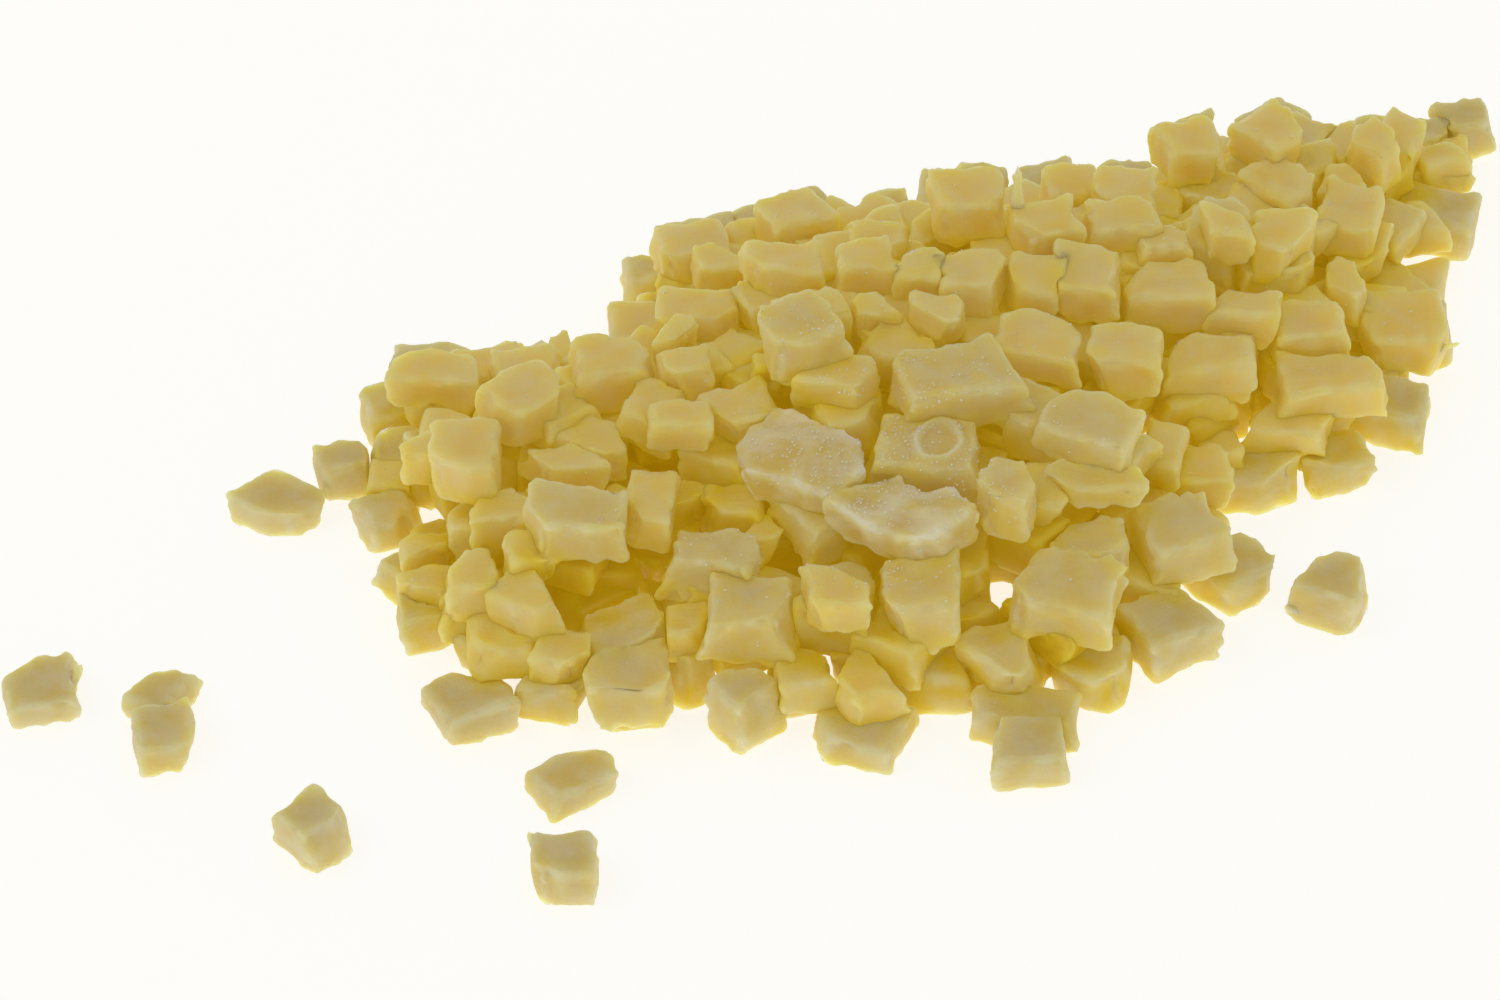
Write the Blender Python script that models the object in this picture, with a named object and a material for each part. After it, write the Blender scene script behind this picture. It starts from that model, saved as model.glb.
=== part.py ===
"""A heap of diced candied pineapple, poured out on a flat surface, and the seven dice that rolled clear.

Each die is cut from a slice, so it is a block with six uneven faces and eight corners that are a
little off. The heap is laid die by die: one is dropped where the heap is still lowest, rocks until it
lies as low as it can, and beds a little into what it touches, because the sugar makes it sticky.
The dice that can be seen are then fused to a core, and the loose ones stay solids of their own.

Lengths are in mm until a mesh is made, and the meshes are in metres. +Z is up, the origin is on the
surface under the middle of the whole, and +X runs along the heap. The tables below have an origin of
their own, at the middle of the floor that the heap covers.
"""

import math
import random

import bmesh
import bpy
import numpy as np
from mathutils import Matrix, Vector

MM = 0.001

# The dice, in mm
SIDE = 7.8  # usual length and width of a die
SIDE_SPREAD = 1.0
THICKNESS = 5.6  # usual thickness, that of the slice it was cut from
THICKNESS_PLAY = 0.8  # how much the thickness of a die strays, as a share of what its sides do
LEAST_SIDE = 4.4
GREATEST_SIDE = 10.4
CORNER_PLAY = 0.08  # how far a corner strays, as a share of the side
SKEW = 0.18  # how far a die leans out of square

# The heap, in mm
RIM_HEIGHT = 6.0
RIM_WIDTH = 5.0  # the edge is one die wide and one high
CREST_HEIGHT = 21.0
CREST_REACH = 44.0  # distance in from the edge at which the heap is at its full height
BED = 1.1  # how deep a sticky face beds into what it touches
SMALL_BED = 2.0  # the same for a small die, which the others squeeze
FLOOR_GAP = 0.2  # kept under the heap's dice, so that only the core lies in the floor's plane
FULL = 2.0  # a place less than this too low takes no more dice
TRIES = 3  # dice that may fail to fit a place before it is left as it is
UNDER_SEEN = 7.0  # how much lower the heap is left where a die that can be told apart will lie
POCKET_DEPTH = 8.0  # how much lower it is left in the hollows between them
OVERFILL = 2.2  # a die may stand this much above the heap's intended height
SMALL_SIDE = 6.2  # the smallest cuts and broken dice, which trickle into the hollows
SMALL_THICKNESS = 4.8
SMALL_SPREAD = 0.6
SMALL_FULL = 2.6
STEEPEST = 26.0  # degrees that a die may lean
SEEN_STEEPEST = 20.0  # degrees that a die that can be told apart may lean
LEVEL_PULL = 5.0  # mm of height that a die gives up rather than stand on its edge
ROCKS = 28  # places and leans that a falling die tries
DRIFT = 2.5  # how far it rolls at each of the first ones
SEEN_DRIFT = 0.8  # the same, for a die that can be told apart
JITTER = 0.1  # how much further off a blocked place it tries again
LOOK_STEP = 0.25  # mm of height between the places along a line of sight that are tried
LOOKS = 4  # times that the wanted height along a line of sight is looked up
TWIST = 0.3  # radians that it turns at each of the first ones
SEEN_BARE = 0.3  # the share of a square that such a die may hide before nothing is dropped there

# The view in which the dice were told apart: from the front, this many degrees above the level
SIGHT = 42.0
SIGHT_DISTANCE = 650.0  # mm from the place looked at
LOOK_AT = (-5.7, -2.6)  # x and y of that place in the finished part, in mm
PICTURE_WIDTH = 1500  # pixels
PICTURE_HEIGHT = 1000
PIXELS_PER_MM = 8.0

# The core, in mm
CORE_STEP = 5.0
CORE_PAD = 1.4
CORE_COVER = 1.4  # thickness of dice left above the core
CORE_REACH = 2.5  # the core stays under the lowest point this near
CORE_BRIDGE = 4.0  # gaps between dice narrower than twice this don't notch the core
CORE_INSET = 3.0  # how far the core stays in from the heap's edge
CORE_SHARE = 0.75  # a square of the core lies under the dice with at least this much of itself
SHOWS = 0.45  # a die of the inner heap shows when this share of it lies on top
FLAT = math.radians(0.5)  # faces that meet at less than this become one

# The height map that the dice are dropped on, in mm
CELL = 0.5
HALF_LENGTH = 105.0
HALF_WIDTH = 85.0
BLOCK = 8  # cells on a side of the squares in which the heap's height is compared
MIDDLE = (0.2, 1.1)  # the middle of the whole, in the tables' x and y, in mm

# The edge of the heap on the surface, anticlockwise from its left end, in mm
OUTLINE = [
    (-59, 3), (-53, -10), (-49, -27), (-42, -45), (-32, -43), (-14, -38), (0, -46), (8, -50),
    (20, -42), (32, -48), (44, -36), (56, -22), (60, -5), (74, 2), (82, 18), (88, 40),
    (94, 64), (82, 70), (62, 69), (44, 57), (22, 55), (2, 52), (-18, 42), (-24, 28),
    (-34, 22), (-50, 22),
]

# Places where the surface shows between the dice in that view: x, y, half the width of the gap, in mm
GAPS = [
    (-45.2, -1.9, 0.9), (-43.6, -3.5, 1.0), (-42.0, -5.6, 0.9), (-40.3, 17.2, 0.7),
    (-32.6, -32.4, 0.6), (-33.2, -34.6, 0.6), (-33.8, -37.0, 0.6), (4.3, -36.5, 0.6),
    (24.0, -15.8, 1.3), (25.4, -18.0, 1.5), (30.4, -33.8, 0.9), (39.5, -20.7, 0.7),
    (64.7, 37.5, 0.7), (65.4, 35.3, 0.7), (77.6, 43.7, 1.1), (79.7, 41.2, 1.2),
    (83.8, 42.1, 1.0), (88.5, 43.3, 1.0),
]

# The dice along the edge that give the heap its outline:
# x, y, turn in degrees, length, width, thickness
RIM = [
    (-56.0, 1.0, 15, 6.2, 6.2, 5.0),
    (-49.2, 3.0, 0, 7.4, 6.4, 5.0),
    (-50.0, -8.5, 20, 6.6, 6.6, 4.8),
    (-43.0, -13.8, 35, 6.8, 6.4, 4.8),
    (-46.5, -18.5, 40, 6.4, 6.2, 5.0),
    (-45.0, -26.5, 18, 6.3, 6.0, 5.4),
    (-37.2, -31.6, 30, 7.0, 7.2, 5.0),
    (-38.6, -41.0, 30, 8.6, 7.8, 4.4),
    (-28.8, -38.0, -8, 7.4, 7.2, 5.4),
    (-19.8, -39.9, 10, 6.4, 6.6, 4.4),
    (-21.0, -32.4, 10, 7.8, 7.6, 5.6),
    (-6.0, -43.0, 43, 6.6, 6.4, 7.4),
    (0.0, -38.0, 15, 6.4, 6.0, 4.4),
    (7.5, -45.5, -14, 9.6, 9.0, 3.8),
    (16.0, -36.5, -4, 9.4, 7.0, 5.2),
    (7.5, -34.0, 4, 6.6, 6.4, 6.2),
    (27.0, -42.8, -6, 12.0, 6.4, 4.0),
    (27.5, -49.0, 6, 7.4, 7.0, 4.8),
    (35.5, -36.5, -3, 7.8, 7.2, 5.6),
    (25.0, -34.6, -32, 8.6, 7.8, 5.2),
    (35.4, -28.6, 4, 6.6, 7.2, 5.2),
    (31.0, -25.6, 8, 7.4, 6.4, 5.0),
    (20.8, -28.0, -10, 6.4, 6.2, 4.8),
    (-13.5, -35.5, 25, 6.4, 6.0, 5.4),
    (45.0, -30.0, 28, 8.6, 8.2, 6.6),
    (53.0, -18.5, 36, 8.8, 8.2, 4.8),
    (58.0, -0.5, 2, 10.0, 6.8, 5.2),
    (67.5, 2.5, 8, 8.2, 7.6, 4.8),
    (75.0, 12.0, -16, 10.0, 6.6, 4.8),
    (78.0, 26.5, 5, 11.0, 9.0, 5.6),
    (85.0, 50.0, -10, 11.4, 8.4, 5.6),
    (91.2, 70.0, 20, 6.8, 6.4, 5.2),
    (86.0, 67.3, 10, 5.8, 6.0, 4.6),
    (78.5, 66.0, 44, 7.6, 7.4, 5.2),
    (65.0, 67.0, 42, 8.8, 8.6, 6.4),
    (54.0, 64.0, 12, 7.2, 7.4, 6.2),
    (44.0, 56.0, -2, 8.4, 6.4, 5.6),
    (34.0, 56.0, 16, 7.4, 6.4, 5.8),
    (24.0, 54.0, -5, 8.4, 6.6, 6.2),
    (12.0, 50.5, 6, 7.0, 5.8, 5.4),
    (1.5, 49.0, 34, 7.0, 6.8, 6.2),
    (-6.0, 48.0, 12, 5.4, 5.6, 5.0),
    (-12.5, 44.0, 16, 8.8, 6.6, 4.8),
    (-17.8, 37.2, 2, 7.6, 6.4, 5.0),
    (-22.0, 19.5, 8, 9.8, 8.0, 5.4),
    (-33.0, 17.5, 36, 8.8, 7.6, 4.8),
    (-41.5, 13.3, 8, 9.0, 6.8, 5.0),
    (-45.5, 19.0, -8, 11.2, 6.6, 4.4),
    (-50.5, 11.5, 22, 7.2, 7.0, 5.2),
]

# The dice on top that can be told apart, the undermost first:
# pixels across and down the picture, turn in degrees, length, width, thickness
SEEN = [
    (1400, 335, 5, 10.6, 8.6, 5.6),
    (1376, 154, 44, 7.6, 7.4, 5.2),
    (1274, 143, 42, 8.8, 8.6, 6.4),
    (1190, 158, 12, 7.6, 7.2, 6.0),
    (1122, 203, -2, 8.4, 6.6, 5.6),
    (1072, 197, 10, 7.2, 5.8, 5.0),
    (968, 210, 0, 8.4, 7.8, 6.4),
    (878, 228, 0, 7.2, 6.6, 5.8),
    (797, 230, 34, 8.0, 6.8, 6.2),
    (742, 240, 12, 5.8, 6.2, 5.0),
    (692, 257, 16, 8.8, 6.6, 4.8),
    (613, 374, 8, 9.2, 7.2, 5.2),
    (530, 402, 36, 8.8, 8.0, 5.4),
    (434, 380, -8, 11.2, 5.4, 4.2),
    (432, 460, 5, 6.2, 6.0, 4.6),
    (466, 462, 0, 7.6, 9.0, 6.0),
    (600, 428, -5, 10.0, 5.6, 4.4),
    (566, 470, 3, 9.2, 4.6, 4.0),
    (505, 503, 8, 7.4, 5.4, 4.6),
    (430, 535, 10, 6.6, 5.0, 4.4),
    (430, 572, -5, 6.2, 4.4, 3.6),
    (471, 585, 0, 5.8, 6.2, 5.0),
    (530, 560, 10, 6.0, 5.0, 4.4),
    (523, 600, 20, 6.0, 7.4, 5.4),
    (560, 652, -25, 6.6, 6.2, 5.0),
    (700, 318, 0, 9.4, 6.0, 5.0),
    (676, 340, 0, 5.6, 5.2, 4.4),
    (722, 272, 15, 6.4, 5.4, 4.8),
    (688, 372, 10, 5.8, 5.4, 4.6),
    (680, 425, -5, 7.2, 5.4, 4.4),
    (777, 368, 0, 5.6, 4.0, 3.4),
    (622, 472, -10, 5.6, 5.4, 4.4),
    (667, 455, 12, 7.8, 5.2, 4.0),
    (728, 488, 0, 6.8, 6.0, 4.6),
    (648, 512, -8, 5.6, 8.4, 5.6),
    (758, 540, 20, 5.6, 4.6, 3.8),
    (682, 590, 20, 5.6, 6.4, 5.0),
    (690, 628, 10, 5.6, 6.0, 5.0),
    (836, 598, 0, 8.0, 6.4, 5.2),
    (1165, 415, -10, 4.8, 7.4, 5.0),
    (1215, 425, 15, 5.0, 4.4, 3.6),
    (1285, 428, -8, 9.4, 5.4, 4.8),
    (1285, 372, 10, 5.6, 7.0, 5.0),
    (1246, 316, -10, 7.4, 5.2, 4.6),
    (1168, 235, 12, 7.0, 5.0, 3.6),
    (1224, 234, 0, 5.8, 5.8, 4.8),
    (1281, 245, -10, 6.4, 7.6, 5.4),
    (1345, 290, -30, 6.8, 5.6, 4.8),
    (1030, 288, -20, 6.8, 6.6, 5.2),
    (920, 278, -12, 5.4, 7.6, 5.2),
    (866, 268, 8, 7.8, 6.6, 5.0),
    (760, 308, 45, 5.6, 5.4, 4.0),
    (872, 318, 30, 4.8, 4.6, 3.6),
    (935, 322, -15, 7.0, 5.0, 4.4),
    (1120, 215, -5, 8.4, 6.4, 5.0),
    (815, 316, 5, 8.6, 4.8, 4.0),
    (785, 272, -6, 9.6, 6.4, 5.2),
    (1346, 224, -20, 7.4, 9.0, 5.8),
    (1043, 232, 15, 8.4, 7.2, 5.6),
    (972, 288, 5, 9.0, 7.6, 5.4),
    (1088, 284, -8, 7.2, 8.0, 6.0),
    (1162, 298, 5, 9.8, 7.4, 5.8),
    (1308, 335, 5, 8.8, 6.8, 5.4),
    (1335, 388, -12, 12.4, 7.4, 5.2),
    (1125, 362, -5, 8.6, 6.6, 5.2),
    (1208, 370, 0, 10.0, 6.8, 5.2),
    (1040, 352, 8, 9.2, 8.8, 5.8),
    (836, 385, -20, 7.8, 6.8, 5.0),
    (742, 415, 5, 8.4, 7.2, 5.4),
    (577, 525, 0, 11.4, 8.0, 5.6),
    (708, 550, -10, 10.2, 6.6, 5.4),
    (800, 360, 35, 8.6, 8.0, 6.0),
    (618, 590, 38, 9.4, 8.0, 4.0),
    (628, 660, 8, 9.8, 8.0, 5.4),
    (752, 604, 25, 10.2, 9.2, 5.8),
    (922, 600, 4, 8.4, 10.2, 6.4),
    (1008, 645, -30, 8.6, 7.8, 5.0),
    (1006, 500, -15, 5.8, 8.0, 5.6),
    (1089, 532, 0, 10.2, 7.4, 5.2),
    (1069, 577, 5, 12.0, 9.0, 5.6),
    (1178, 538, 22, 10.4, 9.6, 6.0),
    (1088, 484, -3, 12.0, 3.6, 2.6),
    (1088, 430, -28, 11.0, 7.4, 4.0),
    (957, 378, 10, 13.0, 9.6, 5.0),
    (805, 465, -28, 15.0, 10.0, 4.6),
    (903, 523, -36, 14.0, 9.6, 4.6),
    (922, 437, -10, 12.6, 8.6, 6.0),
]

# The hollows between those dice: pixels across and down the picture, length and width in mm
POCKETS = [
    (1005, 440, 6.5, 6.5), (808, 545, 7.0, 7.0), (772, 508, 4.5, 3.5), (880, 605, 2.6, 7.0),
    (1090, 622, 6.0, 4.0), (815, 652, 4.0, 6.0), (560, 605, 4.5, 3.0), (675, 662, 3.6, 6.0),
    (887, 368, 5.0, 7.0), (1230, 275, 7.0, 4.0), (685, 488, 3.0, 3.5), (1150, 455, 5.5, 5.5),
    (1050, 292, 3.0, 4.0), (1108, 318, 3.0, 2.5), (1215, 412, 8.0, 2.0), (955, 500, 4.5, 3.5),
    (694, 290, 4.5, 2.0), (1262, 400, 2.0, 6.0), (975, 545, 3.5, 4.5),
]

# The dice that lie clear of the heap: name, x, y, turn in degrees, length, width, thickness, skew
LOOSE = [
    ("die_far_left", -90.2, -38.1, 14, 8.0, 7.6, 3.8, 0.10),
    ("die_in_front_left", -56.2, -62.2, 44, 6.8, 6.8, 6.4, 0.04),
    ("die_in_front_middle", -26.4, -52.6, 36, 8.2, 7.0, 3.8, 0.06),
    ("die_nearest", -26.9, -68.0, 3, 7.2, 7.6, 5.6, 0.05),
    ("die_beside_left_end", -63.9, -5.2, -28, 9.0, 7.4, 3.8, 0.24),
    ("die_right", 65.6, -22.0, -32, 7.6, 8.2, 6.2, 0.05),
]
# A torn flake, which is two scraps of one slice that hang together
FLAKE_NAME = "torn_flake"
FLAKE = [
    (-74.6, -46.2, 20, 6.4, 7.6, 4.2, 0.18),
    (-75.9, -38.8, -20, 4.8, 7.0, 3.4, 0.22),
]

HEAP_SEED = 11
LOOSE_SEED = 5

# The twelve triangles of a block whose corners are numbered by x, then y, then z
BLOCK_FACES = [
    (0, 2, 3), (0, 3, 1), (4, 5, 7), (4, 7, 6), (0, 1, 5), (0, 5, 4),
    (2, 6, 7), (2, 7, 3), (0, 4, 6), (0, 6, 2), (1, 3, 7), (1, 7, 5),
]
CORNER_SIGNS = np.array([(x, y, z) for z in (-1, 1) for y in (-1, 1) for x in (-1, 1)], float)


def start_clean():
    for obj in list(bpy.data.objects):
        bpy.data.objects.remove(obj, do_unlink=True)


def candied_pineapple(name, colour, roughness):
    """Sugared fruit flesh: pale yellow, waxy, not metallic."""
    material = bpy.data.materials.new(name)
    material.use_nodes = True
    shader = material.node_tree.nodes["Principled BSDF"]
    shader.inputs["Base Color"].default_value = (*colour, 1)
    shader.inputs["Roughness"].default_value = roughness
    shader.inputs["Metallic"].default_value = 0
    return material


def place_seen(across, down, height):
    """The place in the tables, in mm, that is seen at these pixels and at this height."""
    focal = PIXELS_PER_MM * SIGHT_DISTANCE
    right, up = (across - PICTURE_WIDTH / 2) / focal, (PICTURE_HEIGHT / 2 - down) / focal
    s, c = math.sin(math.radians(SIGHT)), math.cos(math.radians(SIGHT))
    y = (up * (SIGHT_DISTANCE - height * s) - height * c) / (s - up * c)
    x = right * (SIGHT_DISTANCE + y * c - height * s)
    return x + LOOK_AT[0] + MIDDLE[0], y + LOOK_AT[1] + MIDDLE[1]


def die_corners(rng, length, width, thickness, skew, flat_base=False):
    """The eight corners of a cut block round its own middle: leaning out of square, each a little off."""
    corners = CORNER_SIGNS * (length / 2, width / 2, thickness / 2)
    corners[:, 0] += skew * corners[:, 1]
    play = np.array([[rng.uniform(-1, 1) for _ in range(3)] for _ in range(8)])
    play *= CORNER_PLAY * np.array((length, width, thickness))
    if flat_base:
        play[:4, 2] = 0
    return corners + play


def random_side(rng, usual, spread):
    return min(GREATEST_SIDE, max(LEAST_SIDE, rng.gauss(usual, spread)))


def turned(corners, turn, lean, towards):
    """The corners turned about Z by turn, then leaned over towards a heading; all angles in radians."""
    spin = Matrix.Rotation(turn, 3, "Z")
    axis = Vector((-math.sin(towards), math.cos(towards), 0))
    return corners @ np.array(Matrix.Rotation(lean, 3, axis) @ spin).T


class Ground:
    """The height of whatever lies on the surface, cell by cell, and which die is on top there."""

    def __init__(self):
        self.xs = np.arange(-HALF_LENGTH, HALF_LENGTH, CELL) + CELL / 2
        self.ys = np.arange(-HALF_WIDTH, HALF_WIDTH, CELL) + CELL / 2
        self.top = np.zeros((len(self.ys), len(self.xs)))
        self.owner = np.full(self.top.shape, -1)
        self.sight_from = np.full(self.top.shape, np.inf)
        self.sight_to = np.full(self.top.shape, -np.inf)

    def keep_sight(self, x, y, half):
        """Keeps dice out of the band of sight that ends at this place on the surface."""
        climb = math.tan(math.radians(SIGHT))
        lower = (y - half - self.ys)[:, None] * climb
        upper = (y + half - self.ys)[:, None] * climb
        near = (abs(self.xs - x) < half) & (upper > 0)
        self.sight_from[near] = np.minimum(self.sight_from, np.clip(lower, 0, None))[near]
        self.sight_to[near] = np.maximum(self.sight_to, upper)[near]

    def patch(self, corners):
        """The rows and columns of the cells under these corners."""
        low, high = corners.min(axis=0), corners.max(axis=0)
        columns = slice(*np.searchsorted(self.xs, (low[0], high[0])))
        rows = slice(*np.searchsorted(self.ys, (low[1], high[1])))
        return rows, columns

    def span(self, corners, skin=0.0):
        """For the cells of the patch: the heights of the die's underside and upper side, and where it is.
        The die is taken as the space behind its twelve faces, each moved in by skin."""
        patch = self.patch(corners)
        x, y = self.xs[patch[1]], self.ys[patch[0]][:, None]
        a, b, c = (corners[list(ends)] for ends in zip(*BLOCK_FACES))
        normal = np.cross(b - a, c - a)
        normal /= np.linalg.norm(normal, axis=1)[:, None]
        reach = (normal * a).sum(axis=1) - skin
        rise = np.where(abs(normal[:, 2]) < 1e-6, 1e-6, normal[:, 2])
        face = [part[:, None, None] / rise[:, None, None] for part in (reach, normal[:, 0], normal[:, 1])]
        planes = face[0] - face[1] * x - face[2] * y
        under = planes[rise < 0].max(axis=0)
        over = planes[rise > 0].min(axis=0)
        return patch, under, over, over > under

    def rest_height(self, corners, bed):
        """How far the die must be lifted to lie on what is under it, bedded in this deep."""
        patch, under, over, inside = self.span(corners, bed)
        if not inside.any():
            return None
        lift = max((self.top[patch] - under)[inside].max(), FLOOR_GAP - corners[:, 2].min())
        blocks = (over + lift > self.sight_from[patch]) & (under + lift < self.sight_to[patch])
        return None if (blocks & inside).any() else lift

    def lay(self, corners, number):
        patch, _, over, inside = self.span(corners)
        above = inside & (over > self.top[patch])
        self.top[patch][above] = over[above]
        self.owner[patch][above] = number


def inside_distance(outline, x, y):
    """How far each point lies inside a closed outline, below zero outside it."""
    nearest = np.full(x.shape, np.inf)
    crossings = np.zeros(x.shape, bool)
    for (ax, ay), (bx, by) in zip(outline, outline[1:] + outline[:1]):
        along = ((x - ax) * (bx - ax) + (y - ay) * (by - ay)) / ((bx - ax) ** 2 + (by - ay) ** 2)
        along = np.clip(along, 0, 1)
        nearest = np.minimum(nearest, np.hypot(x - ax - along * (bx - ax), y - ay - along * (by - ay)))
        if ay != by:
            at = ax + (y - ay) / (by - ay) * (bx - ax)
            crossings ^= ((ay > y) != (by > y)) & (x < at)
    return np.where(crossings, nearest, -nearest)


def intended_height(room):
    """The heap's height at a distance in from its edge: steep at the edge, level at the crest."""
    climb = np.sin(np.clip((room - RIM_WIDTH) / (CREST_REACH - RIM_WIDTH), 0, 1) * math.pi / 2)
    return np.where(room > RIM_WIDTH, RIM_HEIGHT + (CREST_HEIGHT - RIM_HEIGHT) * climb, 0)


def by_blocks(values):
    """The mean of the cells in each square block."""
    rows, columns = values.shape[0] // BLOCK, values.shape[1] // BLOCK
    cut = values[: rows * BLOCK, : columns * BLOCK]
    return cut.reshape(rows, BLOCK, columns, BLOCK).mean(axis=(1, 3))


class Heap:
    """The dice laid so far, each as its eight corners, and the ground that they make."""

    def __init__(self, seed):
        self.rng = random.Random(seed)
        self.ground = Ground()
        self.dice = []
        self.x, self.y = np.meshgrid(self.ground.xs, self.ground.ys)
        self.wanted = intended_height(inside_distance(OUTLINE, self.x, self.y))
        hollows = [self.footprint(across, down, 0, *size, 0) for across, down, *size in POCKETS]
        for hollow in hollows:
            self.wanted[hollow] = np.clip(self.wanted - POCKET_DEPTH, 0, None)[hollow]

    def settle(self, block, place, turn, drift, steepest, bed=BED):
        """The lowest rest that the die finds near its place as it rocks less and less, or None."""
        draw, lean, best = self.rng.uniform, math.radians(steepest), None
        for attempt in range(ROCKS):
            loose = 1 - attempt / ROCKS
            if best is None:
                off = attempt * JITTER
                pose = (place[0] + off * draw(-1, 1), place[1] + off * draw(-1, 1), turn, 0.0, 0.0)
            else:
                x, y, turned_by, leaned, heading = best[1]
                pose = (
                    x + drift * loose * draw(-1, 1),
                    y + drift * loose * draw(-1, 1),
                    turned_by + TWIST * loose * draw(-1, 1),
                    min(lean, abs(leaned + lean * loose * draw(-1, 1))),
                    heading + math.pi * loose * draw(-1, 1),
                )
            corners = turned(block, *pose[2:]) + (pose[0], pose[1], 0)
            lift = self.ground.rest_height(corners, bed)
            if lift is None:
                continue
            cost = lift + LEVEL_PULL * math.sin(pose[3])
            if best is None or cost < best[0]:
                best = (cost, pose, corners + (0, 0, lift))
        return best and best[2]

    def lay(self, corners):
        self.ground.lay(corners, len(self.dice))
        self.dice.append(corners)

    def cut_by_table(self, turn, length, width, thickness):
        """A block of a table's size, and its corners turned as it is wanted."""
        skew = self.rng.uniform(-SKEW, SKEW) / 2
        block = die_corners(self.rng, length, width, thickness, skew)
        return block, turned(block, math.radians(turn), 0, 0)

    def lay_flat(self, x, y, turn, length, width, thickness):
        """A die of the edge, which lies on the surface just where it is wanted."""
        _, corners = self.cut_by_table(turn, length, width, thickness)
        self.lay(corners + (x, y, FLOOR_GAP - corners[:, 2].min()))

    def lay_seen(self, across, down, turn, length, width, thickness):
        """A die that can be told apart. It comes to rest where it is seen at these pixels."""
        block, level = self.cut_by_table(turn, length, width, thickness)
        least = None
        for height in np.arange(thickness / 2, CREST_HEIGHT + OVERFILL, LOOK_STEP):
            x, y = place_seen(across, down, height)
            lift = self.ground.rest_height(level + (x, y, 0), BED)
            if lift is not None and (least is None or abs(lift - height) < least):
                least, place = abs(lift - height), (x, y)
        if least is None:
            return
        corners = self.settle(block, place, math.radians(turn), SEEN_DRIFT, SEEN_STEEPEST)
        if corners is not None:
            self.lay(corners)

    def cell(self, x, y):
        """The row and column of the cell at this place."""
        return int((y - self.ground.ys[0]) / CELL), int((x - self.ground.xs[0]) / CELL)

    def footprint(self, across, down, turn, length, width, thickness):
        """The cells under a die whose upper side is at the wanted height and that is seen at these pixels."""
        middle = thickness / 2
        for _ in range(LOOKS):
            x, y = place_seen(across, down, middle)
            middle = max(self.wanted[self.cell(x, y)] - thickness / 2, thickness / 2)
        x, y = place_seen(across, down, middle)
        s, c = math.sin(math.radians(turn)), math.cos(math.radians(turn))
        in_length = abs((self.x - x) * c + (self.y - y) * s) < length / 2
        return in_length & (abs((self.y - y) * c - (self.x - x) * s) < width / 2)

    def bed_height(self):
        """The heap's wanted height, lower wherever a die that can be told apart will lie."""
        height = self.wanted.copy()
        for row in SEEN:
            under = self.footprint(*row)
            height[under] = np.clip(self.wanted - UNDER_SEEN, 0, None)[under]
        return height

    def drop(self, place, side, thickness, spread, bed):
        """A die of about this size, let go over this place. Returns its corners at rest, or None."""
        rng = self.rng
        block = die_corners(
            rng,
            random_side(rng, side, spread),
            random_side(rng, side, spread),
            random_side(rng, thickness, spread * THICKNESS_PLAY),
            rng.uniform(-SKEW, SKEW),
        )
        return self.settle(block, place, rng.uniform(0, math.pi), DRIFT, STEEPEST, bed)

    def fill(self, height, size, full, bare=()):
        """Drops dice where the heap is lowest below this height, and none on the dice numbered bare."""
        ground = self.ground
        tries = np.zeros(by_blocks(height).shape, int)
        tries[by_blocks(np.isin(ground.owner, list(bare))) > SEEN_BARE] = TRIES
        while True:
            gap = by_blocks(height - ground.top)
            gap[tries >= TRIES] = 0
            row, column = np.unravel_index(gap.argmax(), gap.shape)
            if gap[row, column] < full:
                return
            x = ground.xs[0] + (column + self.rng.random()) * BLOCK * CELL
            y = ground.ys[0] + (row + self.rng.random()) * BLOCK * CELL
            corners = self.drop((x, y), *size)
            if corners is None or not self.fits(corners, height):
                tries[row, column] += 1
            else:
                self.lay(corners)

    def fits(self, corners, height):
        """Whether a die lies over the heap's own ground and not far above its height there."""
        x, y, _ = corners.mean(axis=0)
        wanted = height[self.cell(x, y)]
        return wanted > 0 and corners[:, 2].max() <= wanted + OVERFILL

    def shown(self):
        """The numbers of the dice that show: those of the edge, and those that lie on top."""
        seen = []
        for number, corners in enumerate(self.dice):
            patch, _, _, inside = self.ground.span(corners)
            on_top = (self.ground.owner[patch] == number).sum() > SHOWS * inside.sum()
            if number < len(RIM) or on_top:
                seen.append(number)
        return seen


def lay_heap():
    heap = Heap(HEAP_SEED)
    for gap in GAPS:
        heap.ground.keep_sight(*gap)
    for row in RIM:
        heap.lay_flat(*row)
    usual = (SIDE, THICKNESS, SIDE_SPREAD, BED)
    small = (SMALL_SIDE, SMALL_THICKNESS, SMALL_SPREAD, SMALL_BED)
    heap.fill(heap.bed_height(), usual, FULL)
    first = len(heap.dice)
    for row in SEEN:
        heap.lay_seen(*row)
    seen = range(first, len(heap.dice))
    heap.fill(heap.wanted, usual, FULL, bare=seen)
    heap.fill(heap.wanted, small, SMALL_FULL, bare=seen)
    return heap


def block_mesh(name, corners):
    mesh = bpy.data.meshes.new(name)
    mesh.from_pydata((corners * MM).tolist(), [], BLOCK_FACES)
    mesh.update()
    return mesh


def lowest_near(heights, reach):
    """Each cell's lowest neighbour within reach mm."""
    cells = int(reach / CELL)
    lowest = heights.copy()
    for dy in range(-cells, cells + 1):
        for dx in range(-cells, cells + 1):
            if dx * dx + dy * dy <= cells * cells:
                lowest = np.minimum(lowest, np.roll(heights, (dy, dx), axis=(0, 1)))
    return lowest


def highest_near(heights, reach):
    return -lowest_near(-heights, reach)


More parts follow.
